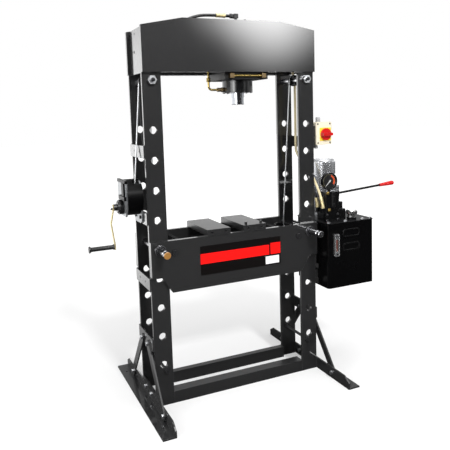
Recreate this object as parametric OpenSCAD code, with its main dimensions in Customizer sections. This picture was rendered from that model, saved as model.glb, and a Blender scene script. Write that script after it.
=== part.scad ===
/* [Frame] */
// Height of the crown's flat top above the floor
press_h = 2000; // [1900:10:2200]
// Clear width between the left and right uprights
clear_w = 796; // [740:2:860]
// Width of an upright bar
upright_w = 98; // [94:1:110]
// Depth over the front and rear uprights
frame_d = 252; // [246:2:290]
// Thickness of an upright bar
upright_t = 15; // [12:1:20]

/* [Crown] */
// Height of the crown plates
crown_h = 266; // [250:2:300]
// Fall of the crown's shoulders
shoulder_drop = 40; // [20:1:60]
// Length of the crown's flat top
crown_top_l = 558; // [440:2:700]
// Thickness of the crown plates
crown_t = 20; // [14:1:28]
// Inset of the crown's end plates
end_inset = 16; // [8:1:24]
// Thickness of the crown's end plates
end_t = 8; // [6:1:12]
// Thickness of the rails that the cylinder slides along
rail_t = 25; // [18:1:30]

/* [Feet] */
// Length of a foot
foot_l = 880; // [780:10:1000]
// Width of a foot's flat leg
foot_w = 70; // [60:1:90]
// Height of a foot's upright leg
foot_h = 64; // [56:1:76]
// Thickness of the foot angles and side bars
bar_t = 8; // [6:1:10]
// Height of the side bars that tie front and rear uprights
tie_h = 64; // [50:1:80]
// Distance of the anchor holes from the centre, front to back
anchor_y = 339; // [300:1:380]
// Diameter of the anchor holes
anchor_d = 14; // [10:1:18]
// Height of the lower cross beams
beam_h = 65; // [50:1:80]
// Depth of the front cross beam
beam_d = 62; // [50:1:75]

/* [Bed] */
// Diameter of the pin holes
pin_hole_d = 38; // [32:1:44]
// Pitch of the pin holes
pin_pitch = 153; // [140:1:156]
// Height of the lowest pin hole
pin_low_z = 224; // [210:1:230]
// Number of pin holes in an upright
pin_rows = 9; // [7:1:9]
// Pin hole that carries the bed, counted from the lowest
bed_row = 4; // [3:1:4]
// Height of the bed plates
bed_h = 274; // [250:1:300]
// Thickness of the bed plates
bed_t = 22; // [16:1:28]
// Height of the bed's top above its pins
bed_rise = 46; // [40:1:60]
// Height of the bed's end tabs
tab_h = 185; // [160:1:200]
// How far a bed pin stands out in front
pin_reach = 117; // [90:1:130]
// Width of a press block
block_w = 134; // [110:1:150]
// Length of a press block
block_l = 306; // [300:1:330]
// Thickness of a press block
block_t = 33; // [25:1:45]

/* [Cylinder] */
// Place of the cylinder along the crown
cylinder_x = 85; // [-150:1:150]
// Outer diameter of the cylinder
barrel_d = 170; // [164:1:172]
// Bore of the cylinder
bore_d = 140; // [134:1:144]
// Diameter of the ram
rod_d = 76; // [60:1:84]
// Stroke of the ram
stroke = 250; // [200:5:255]
// How far the cylinder hangs below the crown
barrel_drop = 104; // [96:1:112]
// Diameter of the ram's head
head_d = 70; // [50:1:74]
// Length of the ram's head
head_l = 40; // [30:1:50]
// Width of the sliding plate that holds the cylinder
carriage_w = 256; // [250:2:270]
// Thickness of the sliding plate
carriage_t = 36; // [30:1:42]

/* [Winch] */
// Height of the winch drum
winch_z = 1105; // [1080:1:1130]
// Outer radius of the winch cover
cover_r = 94; // [92:1:98]
// Length of the winch between its side plates
winch_l = 72; // [68:1:80]
// Length of the crank
crank_l = 205; // [170:1:230]
// Length of the crank's grip
grip_l = 130; // [110:1:150]
// Diameter of the lifting rope
rope_d = 8; // [6:0.5:8]

/* [Power unit] */
// Width of the oil tank
tank_w = 316; // [310:2:340]
// Depth of the oil tank
tank_d = 330; // [322:2:350]
// Height of the oil tank
tank_h = 374; // [340:2:390]
// Height of the oil tank's underside
tank_z = 506; // [490:1:510]
// Outer radius of the motor's fins
motor_r = 74; // [68:1:76]
// Height of the motor with its cowl
motor_h = 346; // [320:2:370]
// Radius of the pressure gauge
gauge_r = 50; // [44:1:52]
// Length of the control lever's rod
lever_l = 354; // [300:2:380]

/* [Hidden] */
$fn = 64;

// Colours
paint = [0.20, 0.20, 0.21];
black = [0.08, 0.08, 0.09];
zinc = [0.78, 0.79, 0.80];
gold = [0.80, 0.66, 0.28];
chrome = [0.85, 0.86, 0.88];
silver = [0.72, 0.73, 0.75];
cream = [0.93, 0.88, 0.68];
beige = [0.88, 0.84, 0.74];
red = [0.80, 0.08, 0.07];

// Clearances
run_gap = 0.05;
slide_gap = 0.3;
pin_gap = 0.1;
bolt_gap = 0.25;
cut = 1;

// Frame lines
half_w = clear_w / 2 + upright_w;
upright_x = clear_w / 2 + upright_w / 2;
half_d = frame_d / 2;
inner_d = half_d - upright_t;
crown_z = press_h - crown_h;
bolt_d = 12;
tie_hole_y = 47;
tie_hole_d = 10;
upper_tie_z = 1340;
lower_tie_z = 659;
brace_tie_z = 337;
tie_zs = [upper_tie_z, lower_tie_z, brace_tie_z];
bar_out = half_w + bar_t;

// Braces, foot bolts and base rods
brace_w = 44;
brace_top = [52, brace_tie_z - 15];
brace_foot = [280, 32];
foot_bolt = [50, 40];
foot_chamfer = [46, 28];
rod_x = upright_x - 14;
base_rod_z = 188;
base_rod_d = 16;
rear_beam_d = 36;

// Bed lines
function pin_z(k) = pin_low_z + pin_pitch * k;
bed_pin_z = pin_z(bed_row);
bed_top_z = bed_pin_z + bed_rise;
bed_front_y = half_d + bed_t;
tab_w = 52;
bed_taper = 57;
spacer_x = 300;
spacer_t = 20;
spacer_h = 200;
spacer_drop = 30;
panel_size = [482, 1, 157];
panel_x = 11;
panel_drop = 129;
block_xs = [-120, 94];
pin_d = pin_hole_d - 2 * pin_gap;
pin_tail = 20;

// Rope run
axle_z = crown_z - 39;
axle_d = 27;
pulley_rope_r = 27;
sheave_rope_r = 33;
sheave_x = upright_x - 76;
sheave_y = half_d - 48;
sheave_z = bed_pin_z - 18;
sheave_axle_d = 16;
wheel_t = 18;
rim_h = 5;
rim_flare = 2.8;
groove_gap = 0.8;

// Winch lines
winch_in = bar_out;
winch_foot_w = 132;
winch_foot_z = winch_z - 104;
winch_bolt_y = 41;
winch_bolt_d = 10;
plate_t = 8;
drum_in = winch_in + plate_t;
drum_out = drum_in + winch_l;
winch_out = drum_out + plate_t;
cover_t = 3;
gear_m = 2.5;
drum_teeth = 28;
pinion_teeth = 10;
pressure_angle = 25;
backlash = 0.25;
gear_t = 10;
crank_z = winch_z - gear_m * (drum_teeth + pinion_teeth) / 2;
drum_axle_d = 18;
drum_core_r = 32;
drum_flange_r = 74;
flange_t = 4;
crank_axle_d = 16;
hub_l = 30;
nose_l = 18;
arm_t = 7;
arm_w = 20;
arm_bow = 14;
arm_x = winch_out + hub_l + nose_l;
grip_d = 27;
grip_pin_d = 10;
rope_x = drum_in + 28;

// Cylinder lines
rail_w = 34;
rail_in = half_d - rail_w;
carriage_d = 2 * half_d - 20;
carriage_z = crown_z - slide_gap;
gland_flange = 6;
gland_spigot = 54;
piston_l = 38;
cap_spigot = 10;
cap_t = 14;
end_gap = 4;
barrel_z = crown_z - barrel_drop + gland_flange;
barrel_l = gland_spigot + stroke + piston_l + cap_spigot + 2 * end_gap;
barrel_top = barrel_z + barrel_l;
piston_z = barrel_top - cap_spigot - end_gap - piston_l;
rod_end_z = crown_z - barrel_drop - 25;
port_z = barrel_z + 12;
port_d = 14;
hanger_x = barrel_d / 2 + 23;
hanger_w = 30;
pipe_d = 12;
pipe_bend = 20;
return_x = cylinder_x - barrel_d / 2 - 87;
return_top = crown_z + 64;
cross_y = carriage_d / 2 + 12;
elbow_z = barrel_top + cap_t + 34;
elbow_reach = 62;
cross_end = carriage_w / 2 - 40;

// Power unit lines
tank_x = bar_out + bar_t;
tank_y = -half_d - 110;
tank_r = 16;
tank_wall = 3;
lid_t = 4;
lid_z = tank_z + tank_h + lid_t;
motor_x = tank_x + 136;
motor_y = tank_y + 246;
cowl_h = 92;
adaptor_h = 16;
valve_x = tank_x + 20;
valve_y = tank_y + 46;
valve_w = 88;
valve_steps = [32, 17];
valve_d = 90;
valve_h = 172;
gauge_x = valve_x + 30;
gauge_z = lid_z + valve_h + gauge_r + 10;
gauge_y = valve_y + 2;
gauge_t = 20;
port_ys = [valve_y + 66, valve_y + 14];
port_z0 = lid_z + 66;
port_block = 26;
neck_h = 14;
lever_x = valve_x + valve_w + 12;
lever_y = valve_y + 42;
lever_z = lid_z + 153;
lever_tilt = 4.2;
lever_d = 13;
filler = [tank_x + tank_w - 122, tank_y + 44];
box_size = [104, 68, 130];
box_x = bar_out + bar_t;
box_y = -half_d - 4;
box_z = 1323;
knob_at = [box_x + 60, box_z + 60];

// Hose routes, from the valve block up between the right uprights, through the crown and down to the cylinder
pressure_d = 16;
return_d = 14;
hose_y = 30;
port_x = valve_x - port_block / 2;
port_top = port_z0 + port_block / 2;
port_gap = 0.1;
rise_x = upright_x + 26;
rise_z = lid_z + 400;
mouth_z = crown_z - 39;
rise_mid = (rise_z + mouth_z) / 2;
crown_side_y = (barrel_d / 2 + half_d) / 2;
elbow_x = cylinder_x - elbow_reach;
turn_x = cylinder_x - 245;
pressure_route = [
    [port_x, port_ys[0], port_top + port_gap], [port_x, port_ys[0], port_top + 7], [port_x, port_ys[0], port_top + 14],
    [half_w + 18, port_ys[0] + 4, port_top + 48], [half_w + 12, -inner_d + 3, port_top + 92],
    [half_w + 9, -inner_d + 28, port_top + 134], [half_w - 2, -hose_y - 28, port_top + 186],
    [rise_x + 5, -hose_y - 6, port_top + 252], [rise_x, -hose_y, rise_z], [rise_x, -hose_y, rise_mid],
    [rise_x, -hose_y, mouth_z - 55], [rise_x - 1, -hose_y, mouth_z], [rise_x - 12, -hose_y - 1, crown_z - 2],
    [rise_x - 23, -hose_y - 8, crown_z + 51], [rise_x - 57, -hose_y - 38, crown_z + 98],
    [rise_x - 113, 6 - crown_side_y, crown_z + 116], [rise_x - 223, -crown_side_y, crown_z + 122],
    [cylinder_x - 85, -crown_side_y, crown_z + 122], [turn_x, 2 - crown_side_y, crown_z + 128],
    [turn_x - 80, 22 - crown_side_y, elbow_z - 144], [turn_x - 102, -36, elbow_z - 84],
    [turn_x - 54, -4, elbow_z - 36], [turn_x + 30, 0, elbow_z - 6], [turn_x + 120, 0, elbow_z],
    [elbow_x - 12, 0, elbow_z], [elbow_x - port_gap, 0, elbow_z]];
return_route = [
    [port_x, port_ys[1], port_top + port_gap], [port_x, port_ys[1], port_top + 7], [port_x, port_ys[1], port_top + 14],
    [half_w + 19, port_ys[1] + 10, port_top + 56], [half_w + 16, port_ys[1] + 30, port_top + 100],
    [half_w + 13, -half_d + 4, port_top + 140], [half_w + 10, -inner_d + 16, port_top + 176],
    [half_w + 10, -inner_d + 62, port_top + 212], [half_w + 4, -hose_y + 30, port_top + 250],
    [rise_x + 6, hose_y - 3, port_top + 310], [rise_x, hose_y, rise_z + 30], [rise_x, hose_y, rise_mid],
    [rise_x, hose_y, mouth_z - 55], [rise_x, hose_y, mouth_z], [rise_x - 11, hose_y + 1, crown_z - 2],
    [rise_x - 23, hose_y + 10, crown_z + 46], [rise_x - 63, hose_y + 44, crown_z + 81],
    [rise_x - 123, crown_side_y - 2, crown_z + 98], [rise_x - 273, crown_side_y, crown_z + 100],
    [cylinder_x - 85, crown_side_y, crown_z + 100], [cylinder_x - 195, crown_side_y - 6, crown_z + 104],
    [turn_x, 56, crown_z + 118], [return_x - 34, 10, crown_z + 124], [return_x, 0, return_top + 34],
    [return_x, 0, return_top + 12], [return_x, 0, return_top + port_gap]];

// Turned and drilled shapes
module along_y(y0, h, r) {
    translate([0, y0, 0]) rotate([-90, 0, 0]) cylinder(h = h, r = r);
}

module in_yz(x0) {
    translate([x0, 0, 0]) rotate([90, 0, 90]) children();
}

module both_sides() {
    children();
    mirror([1, 0, 0]) children();
}

module front_and_back() {
    children();
    mirror([0, 1, 0]) children();
}

module hex(d, h) {
    cylinder(h = h, d = d, $fn = 6);
}

// A bolt through plates on one side of the frame, head outside and nut inside
module side_bolt(side, y, z, x_in, x_out, d = bolt_d) {
    translate([0, y, z]) rotate([0, side * 90, 0]) {
        translate([0, 0, x_out]) hex(1.9 * d, 0.65 * d);
        translate([0, 0, x_in]) cylinder(h = x_out - x_in, d = d);
        translate([0, 0, x_in - 0.8 * d]) hex(1.9 * d, 0.8 * d);
    }
}

module side_hole(y, z, d = bolt_d) {
    translate([-half_w - 60, y, z]) rotate([0, 90, 0]) cylinder(h = 2 * half_w + 120, d = d + 2 * bolt_gap);
}

module rounded_plate(w, d, r) {
    translate([r, 0]) square([w - 2 * r, d]);
    translate([0, r]) square([w, d - 2 * r]);
    for (x = [r, w - r], y = [r, d - r]) translate([x, y]) circle(r = r);
}

// A tube along a route, with its rings kept from twisting
function unit(v) = v / norm(v);
function spline(a, b, c, d, t) =
    0.5 * (2 * b + (c - a) * t + (2 * a - 5 * b + 4 * c - d) * t * t + (3 * b - a - 3 * c + d) * t * t * t);
function smooth(p, steps) = concat(
    [for (i = [0 : len(p) - 2], s = [0 : steps - 1])
        spline(p[max(i - 1, 0)], p[i], p[i + 1], p[min(i + 2, len(p) - 1)], s / steps)],
    [p[len(p) - 1]]);
function heading(p, i) = unit(p[min(i + 1, len(p) - 1)] - p[max(i - 1, 0)]);
function carried(n, t) = unit(n - (n * t) * t);
function normals(p, n, i = 0) = i == len(p) ? [] :
    let (m = carried(n, heading(p, i))) concat([m], normals(p, m, i + 1));
module tube(p, d, sides, first) {
    n = normals(p, first);
    last = len(p) - 1;
    points = [for (i = [0 : last], k = [0 : sides - 1])
        p[i] + d / 2 * (cos(360 * k / sides) * n[i] + sin(360 * k / sides) * cross(heading(p, i), n[i]))];
    walls = [for (i = [0 : last - 1], k = [0 : sides - 1])
        let (a = i * sides + k, b = i * sides + (k + 1) % sides) [a, a + sides, b + sides, b]];
    ends = [[for (k = [0 : sides - 1]) k], [for (k = [0 : sides - 1]) last * sides + sides - 1 - k]];
    polyhedron(points, concat(ends, walls), convexity = 8);
}

// Spur gear outlines
function involute(a) = tan(a) * 180 / PI - a;
function flank(teeth, r) = let (base = gear_m * teeth / 2 * cos(pressure_angle))
    90 / teeth - backlash * 90 / (PI * gear_m * teeth / 2) + involute(pressure_angle) - involute(acos(min(1, base / r)));
module gear_outline(teeth) {
    pitch = gear_m * teeth / 2;
    root = pitch - 1.1 * gear_m;
    tip = pitch + 0.8 * gear_m;
    base = max(root + 0.1, pitch * cos(pressure_angle));
    rise = [for (s = [0 : 4]) base + (tip - base) * s / 4];
    side = concat([[root, flank(teeth, base)]], [for (r = rise) [r, flank(teeth, r)]]);
    polygon([for (i = [0 : teeth - 1], k = [0 : 2 * len(side) - 1])
        let (low = k < len(side), q = low ? side[k] : side[2 * len(side) - 1 - k],
            a = 360 * i / teeth + (low ? -q[1] : q[1]))
        q[0] * [cos(a), sin(a)]]);
}

// Uprights
module upright(side, face) {
    web = face * half_d - 2 * upright_t;
    color(paint) difference() {
        translate([side * upright_x, face * (half_d - upright_t / 2), crown_z / 2])
            cube([upright_w, upright_t, crown_z], center = true);
        for (k = [0 : pin_rows - 1])
            translate([side * upright_x, 0, pin_z(k)]) along_y(web, 4 * upright_t, pin_hole_d / 2);
        translate([side * upright_x, 0, axle_z]) along_y(web, 4 * upright_t, axle_d / 2 + bolt_gap);
        translate([side * rod_x, 0, base_rod_z]) along_y(web, 4 * upright_t, base_rod_d / 2 + bolt_gap);
    }
}

module upright_front_left() { upright(-1, -1); }
module upright_front_right() { upright(1, -1); }
module upright_rear_left() { upright(-1, 1); }
module upright_rear_right() { upright(1, 1); }

// Crown
module crown_plate() {
    shoulder = crown_h - shoulder_drop;
    color(paint) translate([0, half_d + crown_t, crown_z]) rotate([90, 0, 0]) linear_extrude(crown_t)
        polygon([[-half_w, 0], [half_w, 0], [half_w, shoulder], [crown_top_l / 2, crown_h],
            [-crown_top_l / 2, crown_h], [-half_w, shoulder]]);
}

module crown_rear_plate() { crown_plate(); }
module crown_front_plate() { mirror([0, 1, 0]) crown_plate(); }

module crown_end_plates() {
    end_h = crown_h - shoulder_drop;
    color(zinc) both_sides() difference() {
        translate([half_w - end_inset - end_t, -half_d, crown_z]) cube([end_t, frame_d, end_h]);
        for (at = [[half_d / 5, 0.9 * end_h, 6], [half_d / 3, end_h / 2, 9], [2 * half_d / 3, end_h / 2, 9]])
            translate([half_w - end_inset - end_t - cut, at[0], crown_z + at[1]]) rotate([0, 90, 0])
                cylinder(h = end_t + 2 * cut, r = at[2]);
    }
}

module crown_rails() {
    rail_l = 2 * (half_w - end_inset - end_t);
    color(paint) front_and_back()
        translate([-rail_l / 2, rail_in, crown_z]) cube([rail_l, half_d - rail_in, rail_t]);
}

// Flat bars across each pair of uprights, and those that carry the oil tank and the switch box
module side_bar(z) {
    difference() {
        translate([half_w, -half_d, z - tie_h / 2]) cube([bar_t, frame_d, tie_h]);
        if (z == brace_tie_z) for (y = [-brace_top[0], brace_top[0]]) side_hole(y, brace_top[1]);
        else for (y = [-tie_hole_y, tie_hole_y]) side_hole(y, z, tie_hole_d);
    }
}

// The winch hangs on a short bar that is welded to the front upright
module winch_bar() {
    difference() {
        translate([half_w, -half_d, winch_foot_z - tie_h / 2]) cube([bar_t, half_d + winch_foot_w / 2, tie_h]);
        for (y = [-winch_bolt_y, winch_bolt_y]) side_hole(y, winch_foot_z, winch_bolt_d);
    }
}

module base_bar() {
    difference() {
        translate([half_w - bar_t, -inner_d, bar_t]) cube([bar_t, 2 * inner_d, foot_h]);
        for (y = [-foot_bolt[0], foot_bolt[0]]) side_hole(y, foot_bolt[1]);
    }
}

module side_bars() {
    tank_bars = [tank_z + 40, tank_z + tank_h - 80];
    color(paint) {
        both_sides() {
            for (z = tie_zs) side_bar(z);
            base_bar();
        }
        mirror([1, 0, 0]) winch_bar();
        for (z = tank_bars) translate([half_w, -half_d, z]) cube([tank_x - half_w, frame_d, 50]);
        translate([half_w, box_y + 10, upper_tie_z + tie_h / 2]) cube([box_x - half_w, 26, 60]);
    }
}

// Lower cross beams, rolled angles with one leg upright and one on top
module lower_beam(y, d) {
    translate([-clear_w / 2, y, 0]) cube([clear_w, bar_t, beam_h]);
    translate([-clear_w / 2, y, beam_h - bar_t]) cube([clear_w, d, bar_t]);
}

module lower_beams() {
    color(paint) {
        lower_beam(-half_d, beam_d);
        lower_beam(half_d - rear_beam_d, rear_beam_d);
    }
}

// Feet
module foot() {
    color(paint) difference() {
        union() {
            in_yz(half_w) linear_extrude(bar_t)
                polygon([[-foot_l / 2, 0], [foot_l / 2, 0], [foot_l / 2, foot_h - foot_chamfer[1]],
                    [foot_l / 2 - foot_chamfer[0], foot_h], [foot_chamfer[0] - foot_l / 2, foot_h],
                    [-foot_l / 2, foot_h - foot_chamfer[1]]]);
            translate([half_w, -foot_l / 2, 0]) cube([foot_w, foot_l, bar_t]);
        }
        for (y = [-foot_bolt[0], foot_bolt[0]]) side_hole(y, foot_bolt[1]);
        for (y = [-brace_foot[0], brace_foot[0]]) side_hole(y, brace_foot[1]);
        for (y = [-anchor_y, anchor_y])
            translate([half_w + bar_t + (foot_w - bar_t) / 2, y, -cut]) cylinder(h = bar_t + 2 * cut, d = anchor_d);
    }
}

module foot_right() { foot(); }
module foot_left() { mirror([1, 0, 0]) foot(); }

module foot_brace() {
    lean = brace_foot - brace_top;
    in_yz(bar_out) linear_extrude(bar_t) difference() {
        union() {
            translate(brace_top) circle(d = brace_w);
            translate(brace_foot) circle(d = brace_w);
            translate(brace_top) rotate(atan2(lean[1], lean[0])) translate([0, -brace_w / 2]) square([norm(lean), brace_w]);
        }
        for (p = [brace_top, brace_foot]) translate(p) circle(d = bolt_d + 2 * bolt_gap);
    }
}

module foot_braces() {
    color(paint) both_sides() front_and_back() foot_brace();
}

module frame_bolts() {
    brace_out = bar_out + bar_t;
    color(silver) {
        for (side = [-1, 1], y = [-1, 1]) {
            side_bolt(side, y * brace_top[0], brace_top[1], half_w, brace_out);
            side_bolt(side, y * brace_foot[0], brace_foot[1], half_w, brace_out);
            side_bolt(side, y * foot_bolt[0], foot_bolt[1], half_w - bar_t, bar_out);
        }
        for (y = [-1, 1]) side_bolt(-1, y * winch_bolt_y, winch_foot_z, half_w, winch_in + plate_t, winch_bolt_d);
        for (side = [-1, 1]) translate([side * rod_x, 0, base_rod_z]) {
            along_y(-half_d - base_rod_d, frame_d + 2 * base_rod_d, base_rod_d / 2);
            front_and_back() translate([0, half_d, 0]) rotate([-90, 0, 0]) hex(1.8 * base_rod_d, 0.8 * base_rod_d);
        }
    }
}

// Bed
module bed_plate() {
    foot_x = half_w - tab_w;
    color(paint) difference() {
        translate([0, bed_front_y, bed_top_z]) rotate([90, 0, 0]) linear_extrude(bed_t)
            polygon([[-half_w, 0], [half_w, 0], [half_w, -tab_h], [foot_x, -tab_h], [foot_x - bed_taper, -bed_h],
                [bed_taper - foot_x, -bed_h], [-foot_x, -tab_h], [-half_w, -tab_h]]);
        for (side = [-1, 1]) {
            translate([side * upright_x, 0, bed_pin_z]) along_y(half_d - cut, bed_t + 2 * cut, pin_hole_d / 2);
            translate([side * sheave_x, 0, sheave_z])
                along_y(half_d - cut, bed_t + 2 * cut, sheave_axle_d / 2 + bolt_gap);
        }
    }
}

module bed_rear_plate() { bed_plate(); }
module bed_front_plate() { mirror([0, 1, 0]) bed_plate(); }

module bed_spacers() {
    color(paint) both_sides() difference() {
        translate([spacer_x - spacer_t / 2, -half_d, bed_top_z - spacer_h - spacer_drop]) cube([spacer_t, frame_d, spacer_h]);
        translate([spacer_x - spacer_t, sheave_y, sheave_z - sheave_rope_r]) rotate([0, 90, 0])
            cylinder(h = 2 * spacer_t, d = 2 * rope_d);
    }
}

module press_block(x) {
    hole_d = 10;
    hole_l = 20;
    color(paint) difference() {
        translate([x - block_w / 2, -block_l / 2, bed_top_z]) cube([block_w, block_l, block_t]);
        for (side = [-0.3, 0.3]) translate([x + side * block_w, 0, bed_top_z + block_t / 2])
            along_y(-block_l / 2 - cut, hole_l, hole_d / 2);
    }
}

module press_block_left() { press_block(block_xs[0]); }
module press_block_right() {
    peg_d = 15;
    press_block(block_xs[1]);
    color(black) for (side = [-0.34, 0.34])
        translate([block_xs[1] + side * block_w, 20 - block_l / 2, bed_top_z + block_t]) cylinder(h = peg_d, d = peg_d);
}

module bed_panel() {
    color(black) translate([panel_x - panel_size[0] / 2, -bed_front_y - panel_size[1], bed_top_z - panel_drop - panel_size[2] / 2])
        cube(panel_size);
}

module bed_pin(side) {
    r = pin_d / 2;
    bevel = 3;
    groove = 4;
    front = bed_front_y + pin_reach;
    ring = front - 22;
    color(black) translate([side * upright_x, -front, bed_pin_z]) rotate([-90, 0, 0]) rotate_extrude()
        polygon([[0, 0], [r - bevel, 0], [r, bevel], [r, front - ring], [r - groove, front - ring + groove],
            [r - groove, front - ring + 2 * groove], [r, front - ring + 3 * groove],
            [r, front + bed_front_y + pin_tail - bevel], [r - bevel, front + bed_front_y + pin_tail],
            [0, front + bed_front_y + pin_tail]]);
}

module bed_pin_left() { bed_pin(-1); }
module bed_pin_right() { bed_pin(1); }

// Lifting rope, its wheels and their axles
module grooved_wheel(rope_r, axle_r) {
    groove = rope_d / 2 + groove_gap;
    mouth = groove + rim_flare;
    rotate([-90, 0, 0]) difference() {
        translate([0, 0, -wheel_t / 2]) cylinder(h = wheel_t, r = rope_r + rim_h);
        translate([0, 0, -wheel_t]) cylinder(h = 2 * wheel_t, r = axle_r + run_gap);
        rotate_extrude() {
            translate([rope_r, 0]) circle(r = groove);
            translate([rope_r, 0]) polygon([[0, -groove], [rim_h + cut, -mouth], [rim_h + cut, mouth], [0, groove]]);
        }
    }
}

module top_pulley() {
    color(black) translate([-upright_x, 0, axle_z]) grooved_wheel(pulley_rope_r, axle_d / 2);
}

module rope_anchor() {
    color(black) translate([upright_x, 0, axle_z]) grooved_wheel(pulley_rope_r, axle_d / 2);
}

module bed_sheave(side) {
    color(black) translate([side * sheave_x, sheave_y, sheave_z]) grooved_wheel(sheave_rope_r, sheave_axle_d / 2);
}

module bed_sheave_left() { bed_sheave(-1); }
module bed_sheave_right() { bed_sheave(1); }

module top_axle() {
    sleeve_r = axle_d / 2 + 2.5;
    nut_t = 0.8 * axle_d;
    wheel_side = wheel_t / 2 + slide_gap;
    translate([upright_x, 0, axle_z]) {
        along_y(-half_d - nut_t - 6, frame_d + 2 * nut_t + 12, axle_d / 2);
        front_and_back() {
            along_y(wheel_side, half_d - upright_t - wheel_side, sleeve_r);
            translate([0, half_d, 0]) rotate([-90, 0, 0]) hex(1.75 * axle_d, nut_t);
        }
    }
}

module sheave_axle() {
    head_t = 0.6 * sheave_axle_d;
    sleeve_r = sheave_axle_d / 2 + 4;
    rear_side = sheave_y + wheel_t / 2 + slide_gap;
    front_side = sheave_y - wheel_t / 2 - slide_gap;
    translate([sheave_x, 0, sheave_z]) {
        along_y(-bed_front_y, 2 * bed_front_y, sheave_axle_d / 2);
        front_and_back() translate([0, bed_front_y, 0]) rotate([-90, 0, 0]) hex(1.8 * sheave_axle_d, head_t);
        along_y(rear_side, half_d - rear_side, sleeve_r);
        along_y(-half_d, half_d + front_side, sleeve_r);
    }
}

module rope_axles() {
    color(silver) both_sides() {
        top_axle();
        sheave_axle();
    }
}

function arc_in_xz(c, r, from, to, steps) =
    [for (s = [0 : steps]) let (a = from + (to - from) * s / steps) c + r * [cos(a), 0, sin(a)]];
module lifting_rope() {
    drum_off = drum_core_r + 1.5 * rope_d + 1;
    route = concat(
        [[-rope_x, -drum_off, winch_z + 2]],
        arc_in_xz([-upright_x, 0, axle_z], pulley_rope_r, 180, 0, 24),
        arc_in_xz([-sheave_x, sheave_y, sheave_z], sheave_rope_r, 180, 270, 14),
        arc_in_xz([sheave_x, sheave_y, sheave_z], sheave_rope_r, 270, 360, 14),
        arc_in_xz([upright_x, 0, axle_z], pulley_rope_r, 180, -60, 30));
    color(silver) tube(route, rope_d, 8, [0, 1, 0]);
}

// Winch
module winch_inner_plate() {
    foot = winch_foot_w / 2;
    foot_low = winch_foot_z - tie_h / 2;
    difference() {
        union() {
            translate([0, winch_z]) circle(r = cover_r - cover_t - slide_gap);
            polygon([[-foot, winch_z - 40], [foot, winch_z - 40], [foot, foot_low + 14], [foot - 26, foot_low],
                [26 - foot, foot_low], [-foot, foot_low + 14]]);
        }
        for (y = [-winch_bolt_y, winch_bolt_y]) translate([y, winch_foot_z]) circle(d = winch_bolt_d + 2 * bolt_gap);
    }
}

module winch_outer_plate() {
    half = 0.88 * cover_r;
    top = winch_z + 0.95 * cover_r;
    low = winch_z - cover_r;
    nip = 7;
    difference() {
        polygon([[-half, top - nip], [nip - half, top], [half - nip, top], [half, top - nip], [half, winch_z - 46],
            [half - 24, low], [24 - half, low], [-half, winch_z - 46]]);
        translate([0, crank_z]) circle(d = crank_axle_d + 2 * run_gap);
    }
}

module winch_frame() {
    rod_r = cover_r - cover_t - 8;
    color(zinc) mirror([1, 0, 0]) {
        in_yz(winch_in) linear_extrude(plate_t) winch_inner_plate();
        in_yz(drum_out) linear_extrude(plate_t) winch_outer_plate();
        in_yz(drum_in - plate_t / 2) translate([0, winch_z]) {
            cylinder(h = winch_l + plate_t, d = drum_axle_d);
            for (a = [30, 150, 270]) rotate(a) translate([rod_r, 0]) cylinder(h = winch_l + plate_t, r = 5);
        }
    }
}

module winch_cover() {
    rope_gap = 4 * rope_d;
    drum_off = drum_core_r + 1.5 * rope_d;
    cover_l = drum_out - winch_in;
    foot_gap = winch_foot_w + 2 * slide_gap;
    color(black) mirror([1, 0, 0]) difference() {
        in_yz(winch_in) translate([0, winch_z]) difference() {
            cylinder(h = cover_l, r = cover_r);
            translate([0, 0, -cut]) cylinder(h = cover_l + 2 * cut, r = cover_r - cover_t);
        }
        translate([winch_in - cut, -drum_off - rope_gap / 2, winch_z]) cube([cover_l / 2 + 4, rope_gap, 2 * cover_r]);
        translate([winch_in - cut, -foot_gap / 2, winch_z - 2 * cover_r])
            cube([plate_t + slide_gap + cut, foot_gap, 2 * cover_r]);
    }
}

module winch_drum() {
    gear_x = drum_out - slide_gap - gear_t;
    color(silver) mirror([1, 0, 0]) difference() {
        union() {
            in_yz(drum_in + slide_gap) translate([0, winch_z]) cylinder(h = winch_l - 2 * slide_gap, r = drum_axle_d);
            in_yz(drum_in + 4) translate([0, winch_z]) cylinder(h = gear_x - drum_in - 4, r = drum_core_r);
            for (x = [drum_in + 4, gear_x - flange_t])
                in_yz(x) translate([0, winch_z]) cylinder(h = flange_t, r = drum_flange_r);
            in_yz(gear_x) translate([0, winch_z]) linear_extrude(gear_t) gear_outline(drum_teeth);
        }
        in_yz(drum_in - cut) translate([0, winch_z]) cylinder(h = winch_l + 2 * cut, r = drum_axle_d / 2 + run_gap);
    }
}

module rope_turns() {
    pitch = rope_d + 0.2;
    first = drum_in + 4 + flange_t + rope_d / 2 + 0.2;
    turns = floor((winch_l - gear_t - 2 * flange_t - 5) / pitch);
    color(silver) mirror([1, 0, 0]) for (k = [0 : turns - 1])
        in_yz(first + k * pitch) translate([0, winch_z]) rotate_extrude()
            translate([drum_core_r + rope_d / 2 + 0.1, 0]) circle(d = rope_d);
}

module crank_shaft() {
    hub_r = 38;
    nose_r = 17;
    gear_x = drum_out - slide_gap - gear_t;
    color(black) mirror([1, 0, 0]) {
        in_yz(gear_x + 0.5) translate([0, crank_z]) linear_extrude(gear_t - 0.5) gear_outline(pinion_teeth);
        in_yz(drum_out - slide_gap - cut) translate([0, crank_z])
            cylinder(h = arm_x + arm_t - drum_out + slide_gap + cut, d = crank_axle_d);
        in_yz(winch_out + slide_gap) translate([0, crank_z]) cylinder(h = hub_l - slide_gap - 6, r = hub_r);
        in_yz(winch_out + hub_l - 6) translate([0, crank_z]) cylinder(h = 6, r = hub_r - 8);
        in_yz(winch_out + hub_l) translate([0, crank_z]) cylinder(h = nose_l, r = nose_r);
        in_yz(arm_x + arm_t) translate([0, crank_z]) hex(26, 11);
    }
}

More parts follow.
